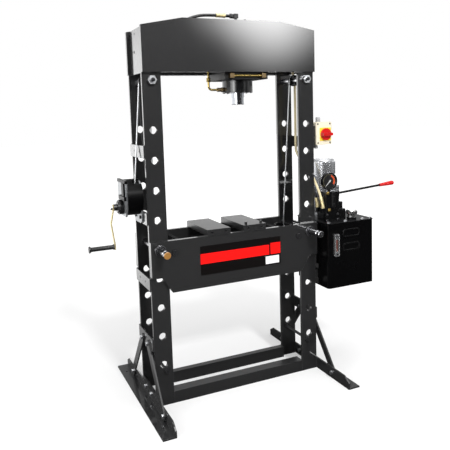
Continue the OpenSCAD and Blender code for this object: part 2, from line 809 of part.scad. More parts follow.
// The crank arm bows outwards between its hub and its grip pin
module crank_arm() {
    grip_z = crank_z - crank_l;
    knee_z = crank_z - 0.4 * crank_l;
    color(gold) mirror([1, 0, 0]) difference() {
        union() {
            translate([0, arm_w / 2, 0]) rotate([90, 0, 0]) linear_extrude(arm_w)
                polygon([[arm_x, crank_z + 14], [arm_x + arm_t, crank_z + 14], [arm_x + arm_t, crank_z - 14],
                    [arm_x + arm_t + arm_bow, knee_z], [arm_x + arm_t, grip_z + 14], [arm_x + arm_t, grip_z - 14],
                    [arm_x, grip_z - 14], [arm_x, grip_z + 14], [arm_x + arm_bow, knee_z], [arm_x, crank_z - 14]]);
            in_yz(arm_x + arm_t) translate([0, grip_z]) cylinder(h = grip_l - 4, d = grip_pin_d);
        }
        in_yz(arm_x - cut) translate([0, crank_z]) cylinder(h = arm_t + 2 * cut, d = crank_axle_d + 2 * run_gap);
    }
}

module crank_grip() {
    bead = 4;
    bore = grip_pin_d / 2 + run_gap;
    r = grip_d / 2;
    color(black) mirror([1, 0, 0]) in_yz(arm_x + arm_t + slide_gap) translate([0, crank_z - crank_l])
        rotate_extrude() polygon([[bore, 0], [r + 1, 0], [r + 1, 4], [r - 2, 8], [r - 2, grip_l - 14], [r + 1, grip_l - 8],
            [r + bead, grip_l - 6], [r + bead, grip_l - 1], [r + bead - 1, grip_l], [0, grip_l], [0, grip_l - 3],
            [bore, grip_l - 3]]);
}

// Sliding carriage and cylinder
module carriage_plate() {
    color(paint) difference() {
        translate([cylinder_x - carriage_w / 2, -carriage_d / 2, carriage_z - carriage_t])
            cube([carriage_w, carriage_d, carriage_t]);
        translate([cylinder_x, 0, carriage_z - carriage_t - cut]) cylinder(h = carriage_t + 2 * cut, d = barrel_d + 2 * run_gap);
    }
}

module carriage_hangers() {
    neck_w = 22;
    neck_d = 2 * rail_in - 8;
    bar_h = 16;
    color(paint) for (side = [-1, 1]) {
        translate([cylinder_x + side * hanger_x - neck_w / 2, -neck_d / 2, carriage_z]) cube([neck_w, neck_d, rail_t + 2 * slide_gap + 1]);
        translate([cylinder_x + side * hanger_x - hanger_w / 2, -carriage_d / 2, crown_z + rail_t + slide_gap])
            cube([hanger_w, carriage_d, bar_h]);
    }
}

module cylinder_barrel() {
    color(black) translate([cylinder_x, 0, barrel_z]) difference() {
        cylinder(h = barrel_l, d = barrel_d);
        translate([0, 0, -cut]) cylinder(h = barrel_l + 2 * cut, d = bore_d);
        translate([-barrel_d, 0, port_z - barrel_z]) rotate([0, 90, 0]) cylinder(h = barrel_d, d = port_d);
    }
}

module cylinder_cap() {
    color(black) translate([cylinder_x, 0, barrel_top]) difference() {
        union() {
            cylinder(h = cap_t, d = barrel_d);
            translate([0, 0, -cap_spigot]) cylinder(h = cap_spigot, d = bore_d - 2 * run_gap);
        }
        translate([0, 0, -cap_spigot - cut]) cylinder(h = cap_spigot + cap_t + 2 * cut, d = port_d);
    }
}

module cylinder_gland() {
    groove_r = bore_d / 2 - 8;
    color(black) translate([cylinder_x, 0, barrel_z]) difference() {
        union() {
            translate([0, 0, -gland_flange]) cylinder(h = gland_flange, d = barrel_d);
            cylinder(h = gland_spigot, d = bore_d - 2 * run_gap);
        }
        translate([0, 0, -gland_flange - cut]) cylinder(h = gland_spigot + gland_flange + 2 * cut, d = rod_d + 2 * run_gap);
        translate([0, 0, port_z - barrel_z - port_d / 2]) difference() {
            cylinder(h = port_d, d = bore_d);
            translate([0, 0, -cut]) cylinder(h = port_d + 2 * cut, r = groove_r);
        }
        translate([-groove_r - 3, 0, port_z - barrel_z]) cylinder(h = gland_spigot, d = port_d / 2);
    }
}

// Elbow on the cylinder's cap, union at its lower port and end blocks of the cross pipe
module hydraulic_fittings() {
    block = 24;
    lower_x = cylinder_x - barrel_d / 2 - 0.2;
    color(black) {
        translate([cylinder_x, 0, barrel_top + cap_t]) hex(34, 12);
        translate([cylinder_x, 0, barrel_top + cap_t - 8]) cylinder(h = 30, d = port_d - 2 * run_gap);
        translate([cylinder_x - block / 2, -block / 2, elbow_z - block / 2]) cube(block);
        translate([cylinder_x - elbow_reach, 0, elbow_z]) rotate([0, 90, 0]) cylinder(h = elbow_reach, d = pressure_d);
        translate([cylinder_x - 34, 0, elbow_z]) rotate([0, 90, 0]) hex(26, 16);
        translate([lower_x - 14, 0, port_z]) rotate([0, 90, 0]) hex(26, 14);
        translate([lower_x - 1, 0, port_z]) rotate([0, 90, 0]) cylinder(h = 12, d = port_d - 2 * run_gap);
    }
    color(gold) {
        translate([lower_x - 38, 0, port_z]) rotate([0, 90, 0]) difference() {
            hex(22, 24);
            translate([0, 0, -cut]) cylinder(h = 12, d = pipe_d + 2 * run_gap);
        }
        for (side = [-1, 1]) translate([cylinder_x + side * (cross_end + 6), -cross_y, carriage_z - carriage_t / 2]) difference() {
            translate([-block / 2, -block / 2, -block / 2]) cube([block, block / 2 + cross_y - carriage_d / 2, block]);
            translate([-side * 6, 0, 0]) rotate([0, -side * 90, 0]) cylinder(h = block, d = pipe_d + 2 * run_gap);
        }
    }
}

module zinc_pipes() {
    run_x = cylinder_x - barrel_d / 2 - 28;
    color(gold) {
        translate([cylinder_x - cross_end, -cross_y, carriage_z - carriage_t / 2]) rotate([0, 90, 0])
            cylinder(h = 2 * cross_end, d = pipe_d);
        translate([return_x + pipe_bend, 0, port_z]) rotate([0, 90, 0]) cylinder(h = run_x - return_x - pipe_bend, d = pipe_d);
        translate([return_x + pipe_bend, 0, port_z + pipe_bend]) rotate([90, 0, 0]) rotate([0, 0, 180])
            rotate_extrude(angle = 90) translate([pipe_bend, 0]) circle(d = pipe_d);
        translate([return_x, 0, port_z + pipe_bend]) cylinder(h = return_top - port_z - pipe_bend, d = pipe_d);
        translate([return_x, 0, crown_z - 44]) hex(24, 22);
        translate([return_x, 0, return_top - 20]) hex(26, 20);
    }
}

module ram_rod() {
    seal_h = 6;
    r = bore_d / 2 - run_gap;
    ram_r = rod_d / 2;
    lift = piston_z - rod_end_z;
    color(chrome) translate([cylinder_x, 0, rod_end_z]) rotate_extrude()
        polygon([[0, 0], [ram_r, 0], [ram_r, lift], [r, lift], [r, lift + seal_h], [r - 3, lift + seal_h],
            [r - 3, lift + 2 * seal_h], [r, lift + 2 * seal_h], [r, lift + piston_l - 2], [r - 2, lift + piston_l],
            [0, lift + piston_l]]);
}

module ram_head() {
    r = head_d / 2;
    bevel = 3;
    color(chrome) translate([cylinder_x, 0, rod_end_z - head_l]) difference() {
        rotate_extrude() polygon([[0, 0], [r - bevel, 0], [r, bevel], [r, head_l], [0, head_l]]);
        translate([0, 0, head_l / 2 + 6]) along_y(-r - cut, 10, 4);
    }
}

// Oil tank
module tank_outline(grow) {
    offset_w = tank_w + 2 * grow;
    offset_d = tank_d + 2 * grow;
    translate([tank_x - grow, tank_y - grow]) rounded_plate(offset_w, offset_d, tank_r + grow);
}

module tank_rib(z) {
    rib = [116, 44];
    rim = 5;
    translate([tank_x + 100, tank_y, tank_z + z]) rotate([90, 0, 0]) translate([0, 0, -tank_wall / 2])
        linear_extrude(tank_wall / 2 + 2) difference() {
            rounded_plate(rib[0], rib[1], 18);
            translate([rim, rim]) rounded_plate(rib[0] - 2 * rim, rib[1] - 2 * rim, 18 - rim);
        }
}

module tank_shell() {
    color(black) {
        difference() {
            translate([0, 0, tank_z]) linear_extrude(tank_h) tank_outline(0);
            translate([0, 0, tank_z + tank_wall]) linear_extrude(tank_h) tank_outline(-tank_wall);
        }
        tank_rib(tank_h - 84);
        tank_rib(tank_h - 164);
    }
}

module tank_lid() {
    neck_r = 27;
    color(paint) {
        translate([0, 0, lid_z - lid_t]) linear_extrude(lid_t) tank_outline(3);
        translate([filler[0], filler[1], lid_z]) cylinder(h = neck_h, r = neck_r);
        translate([filler[0], filler[1], lid_z]) cylinder(h = neck_h + 12, r = 12);
        for (x = [14, tank_w - 14], y = [14, tank_d - 14]) translate([tank_x + x, tank_y + y, lid_z]) hex(18, 8);
    }
}

module filler_cap() {
    r = 34;
    stem_r = 23;
    lobes = 10;
    base = lid_z + neck_h + slide_gap;
    color(chrome) translate([filler[0], filler[1], base]) difference() {
        rotate_extrude() polygon([[0, 0], [stem_r, 0], [stem_r, 14], [r - 3, 18], [r, 21], [r, 36], [r - 6, 44], [0, 44]]);
        translate([0, 0, -cut]) cylinder(h = 14, r = 12 + run_gap);
        for (k = [0 : lobes - 1]) rotate(k * 360 / lobes) translate([r + 4, 0, 16]) cylinder(h = 40, r = 7);
    }
}

module sight_glass() {
    size = [34, 12, 128];
    at = [tank_x + 36, tank_z + tank_h - 60 - size[2]];
    color([0.75, 0.78, 0.76]) translate([at[0], tank_y, at[1]]) rotate([90, 0, 0]) difference() {
        linear_extrude(size[1]) rounded_plate(size[0], size[2], 8);
        translate([9, 30, size[1] - 4]) linear_extrude(5) rounded_plate(size[0] - 18, size[2] - 60, 5);
    }
}

// Motor with cooling fins
module motor_body() {
    core_r = motor_r - 9;
    fins = 30;
    body_h = motor_h - cowl_h - adaptor_h;
    color(silver) translate([motor_x, motor_y, lid_z]) {
        cylinder(h = adaptor_h, r = motor_r - 4);
        translate([0, 0, adaptor_h]) cylinder(h = body_h, r = core_r);
        translate([0, 0, adaptor_h + 20]) linear_extrude(body_h - 30) difference() {
            for (k = [0 : fins - 1]) rotate(k * 360 / fins) translate([0, -1.5]) square([motor_r, 3]);
            circle(r = core_r - 3);
        }
        translate([-45, -motor_r - 28, adaptor_h + 90]) cube([90, motor_r - core_r + 36, 84]);
    }
}

module motor_cowl() {
    r = motor_r + 1;
    vents = 12;
    color(silver) translate([motor_x, motor_y, lid_z + motor_h - cowl_h]) difference() {
        rotate_extrude() {
            square([r, cowl_h - 20]);
            translate([0, cowl_h - 20]) square([r - 20, 20]);
            translate([r - 20, cowl_h - 20]) intersection() {
                circle(r = 20);
                square(20);
            }
        }
        for (k = [0 : vents - 1]) rotate(k * 360 / vents) translate([r * 0.5, 0, cowl_h - 6]) cylinder(h = 10, r = 6);
    }
}

// Valve block with the lever's fork and the ports that take the hoses
module valve_block() {
    first = valve_steps[0];
    second = valve_steps[1];
    ear_t = 8;
    ear_gap = 16;
    color(black) {
        translate([valve_x, valve_y, lid_z]) cube([valve_w, valve_d, valve_h]);
        translate([valve_x + valve_w, valve_y + 6, lid_z]) cube([first + second, valve_d - 12, 66]);
        translate([valve_x + valve_w, valve_y + 10, lid_z + 66]) cube([first, valve_d - 20, 42]);
        for (y = [-ear_gap / 2 - ear_t, ear_gap / 2]) translate([valve_x + valve_w, lever_y + y, lever_z - 16])
            cube([22, ear_t, 30]);
        translate([lever_x, lever_y, lever_z]) along_y(-ear_gap / 2 - ear_t - 2, ear_gap + 2 * ear_t + 4, 5);
        for (y = port_ys) translate([valve_x - port_block, y - port_block / 2, port_z0 - port_block / 2]) cube(port_block);
    }
}

module valve_lever() {
    hub_t = 15;
    color(black) translate([lever_x, lever_y, lever_z]) difference() {
        union() {
            along_y(-hub_t / 2, hub_t, 9.5);
            rotate([0, 90 - lever_tilt, 0]) cylinder(h = lever_l, d = lever_d);
        }
        along_y(-hub_t, 2 * hub_t, 5 + run_gap);
    }
}

module lever_grip() {
    l = 106;
    sleeve = 40;
    r = lever_d / 2 + run_gap;
    color(red) translate([lever_x, lever_y, lever_z]) rotate([0, 90 - lever_tilt, 0]) translate([0, 0, lever_l - sleeve])
        rotate_extrude() polygon([[r, 0], [r + 2.5, 0], [r + 3, 8], [13, l - 18], [13, l - 8], [10, l - 2], [5, l], [0, l],
            [0, sleeve + 0.5], [r, sleeve + 0.5]]);
}

// Pressure gauge
module gauge_case() {
    rim = 4;
    recess = 9;
    color(black) translate([gauge_x, gauge_y, gauge_z]) {
        difference() {
            along_y(0, gauge_t, gauge_r);
            along_y(-cut, recess + cut, gauge_r - rim);
        }
        along_y(recess - 5, 6, 2);
        translate([0, gauge_t / 2 + 3, -gauge_r - 10]) cylinder(h = 14, r = 7);
    }
}

module gauge_needle() {
    tip = gauge_r - 14;
    tail = 10;
    color("white") translate([gauge_x, gauge_y + 4.6, gauge_z]) rotate([90, 0, 0]) rotate(225) difference() {
        union() {
            cylinder(h = 1.6, r = 5);
            linear_extrude(1.6) polygon([[-tail, -2], [-tail, 2], [tip, 0.8], [tip, -0.8]]);
        }
        translate([0, 0, -cut]) cylinder(h = 4, r = 2 + run_gap);
    }
}

module gauge_glass() {
    color([0.8, 0.9, 0.95, 0.4]) translate([gauge_x, gauge_y, gauge_z]) along_y(0, 2, gauge_r - 4 - run_gap);
}

// Main switch
module switch_box() {
    plate = 74;
    rim_r = 8;
    color(beige) {
        translate([box_x, box_y + box_size[1], box_z]) rotate([90, 0, 0]) linear_extrude(box_size[1])
            rounded_plate(box_size[0], box_size[2], rim_r);
        translate([box_x + 20, box_y + box_size[1] / 2, box_z - 22]) hex(24, 12);
        translate([box_x + 20, box_y + box_size[1] / 2, box_z - 12]) cylinder(h = 13, d = 18);
    }
    color("gold") translate([knob_at[0] - plate / 2, box_y - 3, knob_at[1] - plate / 2]) cube([plate, 3.5, plate]);
    color(black) translate([knob_at[0], 0, knob_at[1]]) along_y(box_y - 12, 13, 5);
}

module switch_knob() {
    r = 34;
    base = box_y - 3 - slide_gap;
    color(red) translate([knob_at[0], base, knob_at[1]]) difference() {
        union() {
            along_y(-10, 10, r);
            translate([2 - r, -30, -8]) cube([2 * r - 4, 21, 16]);
        }
        along_y(-9.4, 10, 5 + run_gap);
    }
}

// Hoses, held by the uprights and the crown
module pressure_hose() {
    color(black) tube(smooth(pressure_route, 4), pressure_d, 10, [0, 1, 0]);
}

module return_hose() {
    color(cream) tube(smooth(return_route, 4), return_d, 10, [0, 1, 0]);
}

upright_front_left();
upright_front_right();
upright_rear_left();
upright_rear_right();
crown_front_plate();
crown_rear_plate();
crown_end_plates();
crown_rails();
side_bars();
lower_beams();
foot_left();
foot_right();
foot_braces();
frame_bolts();
bed_front_plate();
bed_rear_plate();
bed_spacers();
press_block_left();
press_block_right();
bed_panel();
rope_axles();
rope_anchor();
lifting_rope();
winch_frame();
winch_cover();
winch_drum();
rope_turns();
crank_shaft();
crank_arm();
crank_grip();
top_pulley();
bed_sheave_left();
bed_sheave_right();
carriage_plate();
carriage_hangers();
cylinder_barrel();
cylinder_cap();
cylinder_gland();
hydraulic_fittings();
zinc_pipes();
ram_rod();
ram_head();
bed_pin_left();
bed_pin_right();
tank_shell();
tank_lid();
sight_glass();
filler_cap();
motor_body();
motor_cowl();
valve_block();
valve_lever();
lever_grip();
gauge_case();
gauge_needle();
gauge_glass();
switch_box();
switch_knob();
pressure_hose();
return_hose();
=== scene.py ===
from math import cos, pi, radians, sin

import bmesh
import bpy
from mathutils import Matrix, Vector


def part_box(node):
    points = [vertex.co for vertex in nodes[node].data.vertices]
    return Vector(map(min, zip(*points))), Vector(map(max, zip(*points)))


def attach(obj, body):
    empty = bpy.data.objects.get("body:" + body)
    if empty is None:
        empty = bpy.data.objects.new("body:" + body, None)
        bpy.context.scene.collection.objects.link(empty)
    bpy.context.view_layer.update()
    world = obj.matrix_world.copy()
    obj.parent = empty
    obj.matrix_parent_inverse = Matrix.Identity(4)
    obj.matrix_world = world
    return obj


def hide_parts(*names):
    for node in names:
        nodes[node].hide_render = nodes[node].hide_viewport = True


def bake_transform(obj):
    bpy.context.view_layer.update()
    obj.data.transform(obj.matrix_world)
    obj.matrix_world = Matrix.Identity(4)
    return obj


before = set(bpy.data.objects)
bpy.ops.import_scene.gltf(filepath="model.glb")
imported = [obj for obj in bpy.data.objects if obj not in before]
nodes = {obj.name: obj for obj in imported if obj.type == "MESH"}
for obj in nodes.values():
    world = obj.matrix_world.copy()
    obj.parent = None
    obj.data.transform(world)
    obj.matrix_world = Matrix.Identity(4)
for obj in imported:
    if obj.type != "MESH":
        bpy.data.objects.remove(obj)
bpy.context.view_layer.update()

# Camera. It stands to the left of the press, a little above its middle, and looks slightly down.
# Position, turn and lens come from matching the frame's corners with the photograph.
camera_at = Vector((-1.2802, -2.8201, 1.5230))
camera_yaw = radians(24.027)
camera_pitch = radians(6.437)
camera_roll = radians(-1.830)
focal_px = 559.55
photo_px = 450
optical_centre = (222.36, 175.95)
sensor_mm = 36.0

ahead = Vector((sin(camera_yaw) * cos(camera_pitch),
                cos(camera_yaw) * cos(camera_pitch),
                -sin(camera_pitch)))
level = Vector((cos(camera_yaw), -sin(camera_yaw), 0.0))
above = level.cross(ahead)
rightward = cos(camera_roll) * level + sin(camera_roll) * above
upward = cos(camera_roll) * above - sin(camera_roll) * level
camera_data = bpy.data.cameras.new("camera")
camera_data.sensor_fit = "HORIZONTAL"
camera_data.sensor_width = sensor_mm
camera_data.lens = focal_px * sensor_mm / photo_px
camera_data.shift_x = 0.5 - optical_centre[0] / photo_px
camera_data.shift_y = optical_centre[1] / photo_px - 0.5
camera_data.clip_end = 100.0
camera = bpy.data.objects.new("camera", camera_data)
turn = Matrix((rightward, upward, -ahead)).transposed().to_4x4()
camera.matrix_world = Matrix.Translation(camera_at) @ turn
bpy.context.scene.collection.objects.link(camera)
bpy.context.scene.camera = camera
bpy.context.scene.view_settings.view_transform = "Standard"

# Studio. A white floor and a white surround that the coat mirrors behind and to the left of the press,
# with dark flags in front. Three panels that only reflections show put a sheen on the crown and a highlight
# on the left faces, and a small key lamp in front casts the shadow that lies behind the press.
floor_span = 60.0
floor_white = (0.55, 0.55, 0.55, 1)
floor_flagged = (0.06, 0.06, 0.06, 1)
floor_glow, far_glow = 0.36, 0.80
glow_reach = (0.7, 4.6)
rear_ground = (0.0, 4.0)
left_ground = (0.2, -0.8)
rear_sky = (-0.15, 0.45)
low_sky = (0.32, 0.10)
low_sky_least = 0.1
left_sky = (-0.45, -0.95)
right_sky = (0.64, 0.96)
right_share = 0.5
top_sky = (0.52, 0.95)
surround_dim, surround_bright = 0.05, 2.20
fill_strength = 0.62
sheen_panels = [
    (Vector((0.490, -0.850, 0.185)), Vector((0.105, 1.0, 0.140)), 14.5),
    (Vector((0.420, -0.880, 0.205)), Vector((0.085, 1.0, 0.100)), 7.0),
    (Vector((-0.780, -0.620, 0.150)), Vector((0.200, 0.250, 0.600)), 13.0),
]
lamps = [
    ("left_light", (-4.2, -1.8, 2.5), (0, 0, 1.2), 2.4, 70),
    ("key_light", (0.1, -5.6, 4.9), (0, 0, 0.8), 0.8, 330),
    ("top_light", (0.6, -0.8, 5.2), (0, 0, 1.0), 3.0, 80),
]

floor_mesh = bpy.data.meshes.new("floor")
corner = floor_span / 2
floor_corners = [(-corner, -corner, 0), (corner, -corner, 0), (corner, corner, 0), (-corner, corner, 0)]
floor_mesh.from_pydata(floor_corners, [], [(0, 1, 2, 3)])
floor = bpy.data.objects.new("floor", floor_mesh)
bpy.context.scene.collection.objects.link(floor)
floor_coat = bpy.data.materials.new("floor_coat")
floor_coat.use_nodes = True
tree = floor_coat.node_tree
tree.nodes.clear()


def studio_node(kind, operation=None, **values):
    node = tree.nodes.new(kind)
    if operation:
        node.operation = operation
    for name, value in values.items():
        numbered = name[0] == "i" and name[1:].isdigit()
        socket = node.inputs[int(name[1:])] if numbered else node.inputs[name]
        if isinstance(value, bpy.types.NodeSocket):
            tree.links.new(value, socket)
        else:
            socket.default_value = value
    return node


def studio_math(operation, *values):
    numbered = {f"i{k}": value for k, value in enumerate(values)}
    return studio_node("ShaderNodeMath", operation, **numbered).outputs[0]


def ramp(value, start, stop, first=0.0, last=1.0):
    limits = {"From Min": start, "From Max": stop, "To Min": first, "To Max": last}
    return studio_node("ShaderNodeMapRange", Value=value, **limits).outputs[0]


path = studio_node("ShaderNodeLightPath").outputs
floor_shade = tree.nodes.new("ShaderNodeMix")
floor_shade.data_type = "RGBA"
tree.links.new(path["Is Glossy Ray"], floor_shade.inputs[0])
floor_shade.inputs[6].default_value = floor_white
floor_shade.inputs[7].default_value = floor_flagged
matt = studio_node("ShaderNodeBsdfDiffuse", Color=floor_shade.outputs[2])
ground = studio_node("ShaderNodeTexCoord").outputs["Object"]
ground_axes = studio_node("ShaderNodeSeparateXYZ", Vector=ground).outputs
away = studio_node("ShaderNodeVectorMath", "LENGTH", i0=ground).outputs["Value"]
far = ramp(away, *glow_reach, floor_glow, far_glow)
rear = ramp(ground_axes["Y"], *rear_ground, last=surround_bright)
leftward = ramp(ground_axes["X"], *left_ground)
rear_left = studio_math("MULTIPLY", rear, leftward)
looked_at = studio_math("MULTIPLY", path["Is Camera Ray"], far)
lift = studio_math("MULTIPLY_ADD", path["Is Glossy Ray"], rear_left, looked_at)
glow = studio_node("ShaderNodeEmission", Strength=lift)
both = studio_node("ShaderNodeAddShader", i0=matt.outputs[0], i1=glow.outputs[0])
studio_node("ShaderNodeOutputMaterial", Surface=both.outputs[0])
floor_mesh.materials.append(floor_coat)

world = bpy.data.worlds.new("studio")
bpy.context.scene.world = world
world.use_nodes = True
tree = world.node_tree
tree.nodes.clear()
direction = studio_node("ShaderNodeTexCoord").outputs["Generated"]
axes = studio_node("ShaderNodeSeparateXYZ", Vector=direction).outputs
rearward = ramp(axes["Y"], *rear_sky)
low_down = ramp(axes["Z"], *low_sky, first=low_sky_least)
behind = studio_math("MULTIPLY", rearward, low_down)
at_left = ramp(axes["X"], *left_sky)
at_right = ramp(axes["X"], *right_sky, last=right_share)
overhead = ramp(axes["Z"], *top_sky)
ends = studio_math("MAXIMUM", at_right, at_left)
sides = studio_math("MAXIMUM", behind, ends)
bright = studio_math("MAXIMUM", sides, overhead)
mirrored = ramp(bright, 0.0, 1.0, surround_dim, surround_bright)
for panel_at, panel_reach, panel_strength in sheen_panels:
    apart = studio_node("ShaderNodeVectorMath", "SUBTRACT", i0=direction, i1=panel_at)
    spread = studio_node("ShaderNodeVectorMath", "DIVIDE", i0=apart.outputs[0], i1=panel_reach)
    off_centre = studio_node("ShaderNodeVectorMath", "LENGTH", i0=spread.outputs[0])
    panel = ramp(off_centre.outputs["Value"], 1.0, 0.0, last=panel_strength)
    panel.node.interpolation_type = "SMOOTHSTEP"
    mirrored = studio_math("ADD", mirrored, panel)
path = studio_node("ShaderNodeLightPath").outputs
seen_in = studio_math("MAXIMUM", path["Is Glossy Ray"], path["Is Transmission Ray"])
soft = studio_node("ShaderNodeMix", i0=seen_in, i2=fill_strength, i3=mirrored)
shown = studio_node("ShaderNodeMix", i0=path["Is Camera Ray"], i2=soft.outputs[0], i3=1.0)
sky = studio_node("ShaderNodeBackground", Color=(1, 1, 1, 1), Strength=shown.outputs[0])
studio_node("ShaderNodeOutputWorld", Surface=sky.outputs[0])

for name, at, towards, span, power in lamps:
    lamp = bpy.data.lights.new(name, "AREA")
    lamp.shape = "RECTANGLE"
    lamp.size = span
    lamp.size_y = span
    lamp.energy = power
    holder = bpy.data.objects.new(name, lamp)
    aim = (Vector(towards) - Vector(at)).to_track_quat("-Z", "Y")
    holder.matrix_world = Matrix.Translation(at) @ aim.to_matrix().to_4x4()
    bpy.context.scene.collection.objects.link(holder)

# Uprights. Four flat steel bars on edge, two at each end of the press, with a row of flame-cut pin holes.
# They are sprayed charcoal: a satin coat with a faint orange peel, uneven in tone and lighter over the edges.
# The lighter edges are partly worn-thin coat and partly a painted highlight where the edges catch the light.
charcoal = (0.015, 0.015, 0.0155)
bare_and_glinting_edge = (0.45, 0.45, 0.46, 1.0)
cloud_scale, cloud_detail = 5.0, 6.0
peel_detail, peel_strength = 2.0, 0.5
gloss_swing = 0.06
rim_turn = (0.97, 0.80)
rim_samples = 4
coat_ior = 1.7
joined_within = 0.00001
crease_angle = radians(32)


def paint(name, colour, roughness, metallic=0.0, mottle=0.10, peel=700.0, depth=0.00006,
          edge=(0.16, 0.0014), specular=0.5, coat=0.0, coat_roughness=0.08, fields=()):
    material = bpy.data.materials.new(name)
    material.use_nodes = True
    links = material.node_tree.links
    add = material.node_tree.nodes.new
    shader = material.node_tree.nodes["Principled BSDF"]
    place = add("ShaderNodeTexCoord").outputs["Object"]
    axis = add("ShaderNodeSeparateXYZ")
    links.new(place, axis.inputs[0])
    edge_wear_and_glint, edge_radius = edge

    def fill(socket, value):
        if isinstance(value, bpy.types.NodeSocket):
            links.new(value, socket)
        else:
            socket.default_value = value

    def worked(operation, *values):
        node = add("ShaderNodeMath")
        node.operation = operation
        for socket, value in zip(node.inputs, values):
            fill(socket, value)
        return node.outputs[0]

    def ranged(value, **limits):
        node = add("ShaderNodeMapRange")
        links.new(value, node.inputs["Value"])
        for limit, number in limits.items():
            node.inputs[limit.replace("_", " ").title()].default_value = number
        return node.outputs[0]

    def mixed(kind, share, first, second):
        node = add("ShaderNodeMix")
        node.data_type = kind
        at = 6 if kind == "RGBA" else 2
        links.new(share, node.inputs[0])
        fill(node.inputs[at], first)
        fill(node.inputs[at + 1], second)
        return node.outputs[2 if kind == "RGBA" else 0]

    def noise(scale, detail):
        node = add("ShaderNodeTexNoise")
        node.inputs["Scale"].default_value = scale
        node.inputs["Detail"].default_value = detail
        links.new(place, node.inputs["Vector"])
        return node.outputs["Fac"]

    shade, metal, dullness = (*colour, 1.0), metallic, roughness
    for within, field_colour, field_metal, field_dullness in fields:
        inside = None
        for letter, (low, high) in within.items():
            off = worked("ABSOLUTE", worked("SUBTRACT", axis.outputs[letter], (low + high) / 2))
            near = worked("LESS_THAN", off, (high - low) / 2)
            inside = near if inside is None else worked("MULTIPLY", inside, near)
        shade = mixed("RGBA", inside, shade, (*field_colour, 1.0))
        metal = mixed("FLOAT", inside, metal, field_metal)
        dullness = mixed("FLOAT", inside, dullness, field_dullness)

    cloud = noise(cloud_scale, cloud_detail)
    tinted = add("ShaderNodeVectorMath")
    tinted.operation = "SCALE"
    fill(tinted.inputs[0], shade if isinstance(shade, bpy.types.NodeSocket) else colour)
    links.new(ranged(cloud, to_min=1.0 - mottle, to_max=1.0 + mottle), tinted.inputs["Scale"])
    rounded = add("ShaderNodeBevel")
    rounded.samples = rim_samples
    rounded.inputs["Radius"].default_value = edge_radius
    flat = add("ShaderNodeNewGeometry")
    along = add("ShaderNodeVectorMath")
    along.operation = "DOT_PRODUCT"
    links.new(rounded.outputs[0], along.inputs[0])
    links.new(flat.outputs["True Normal"], along.inputs[1])
    # Edges are mixed towards a light grey: worn coat, plus a painted highlight for the light that edges
    # catch.
    rim = ranged(along.outputs["Value"], from_min=rim_turn[0], from_max=rim_turn[1], to_max=edge_wear_and_glint)
    links.new(mixed("RGBA", rim, tinted.outputs[0], bare_and_glinting_edge), shader.inputs["Base Color"])
    bump = add("ShaderNodeBump")
    bump.inputs["Distance"].default_value = depth
    bump.inputs["Strength"].default_value = peel_strength
    links.new(noise(peel, peel_detail), bump.inputs["Height"])
    links.new(rounded.outputs[0], bump.inputs["Normal"])
    links.new(bump.outputs[0], shader.inputs["Normal"])
    wear = ranged(cloud, to_min=-gloss_swing, to_max=gloss_swing)
    links.new(worked("ADD", wear, dullness), shader.inputs["Roughness"])
    fill(shader.inputs["Metallic"], metal)
    shader.inputs["Specular IOR Level"].default_value = specular
    shader.inputs["Coat Weight"].default_value = coat
    shader.inputs["Coat IOR"].default_value = coat_ior
    shader.inputs["Coat Roughness"].default_value = coat_roughness
    return material


def dress(material, *names):
    for name in names:
        part = nodes[name]
        part.data.materials.clear()
        part.data.materials.append(material)
        part.data.polygons.foreach_set("use_smooth", [True] * len(part.data.polygons))
        join = part.modifiers.new("join_triangles", "WELD")
        join.merge_threshold = joined_within
        crease = part.modifiers.new("crease_edges", "EDGE_SPLIT")
        crease.split_angle = crease_angle


frame_paint = paint("charcoal_paint", charcoal, 0.46, specular=0.16, coat=1.0)
dress(frame_paint, "upright_front_left", "upright_front_right", "upright_rear_left", "upright_rear_right")

# Crown. Two thick plates with sloping shoulders, tied by end plates and by the rails that carry the cylinder.
# Cut plate, welded on top of the uprights and painted with them.
dress(frame_paint, "crown_front_plate", "crown_rear_plate", "crown_end_plates", "crown_rails")

# Side bars, cross beams, feet and braces. Flat bar and angle that tie the uprights front to back
# and spread the load on the floor, welded or bolted on and painted with the frame.
dress(frame_paint, "side_bars", "lower_beams", "foot_left", "foot_right", "foot_braces")

# Weld beads. Short fillet beads join the bars, plates and angles of the frame, laid by hand and painted over.
# Each run is a line on the corner that it fills, swept round and pushed about a little for the ripple.
weld_radius = 0.0034
weld_ripple = 0.0016
bead_step = 0.0035
bead_sides = 8
ripple_scale = 260.0


def begin_tree(name, inputs):
    tree = bpy.data.node_groups.new(name, "GeometryNodeTree")
    socket = tree.interface.new_socket
    socket("Geometry", in_out="INPUT", socket_type="NodeSocketGeometry")
    for label, kind in inputs.items():
        socket(label, in_out="INPUT", socket_type="NodeSocket" + kind)
    socket("Finish", in_out="INPUT", socket_type="NodeSocketMaterial")
    socket("Geometry", in_out="OUTPUT", socket_type="NodeSocketGeometry")
    return tree, tree.nodes.new, tree.links.new, tree.nodes.new("NodeGroupInput").outputs


def end_tree(add, link, given, made):
    real = add("GeometryNodeRealizeInstances")
    link(made, real.inputs[0])
    painted = add("GeometryNodeSetMaterial")
    link(real.outputs[0], painted.inputs["Geometry"])
    link(given["Finish"], painted.inputs["Material"])
    link(painted.outputs[0], add("NodeGroupOutput").inputs[0])


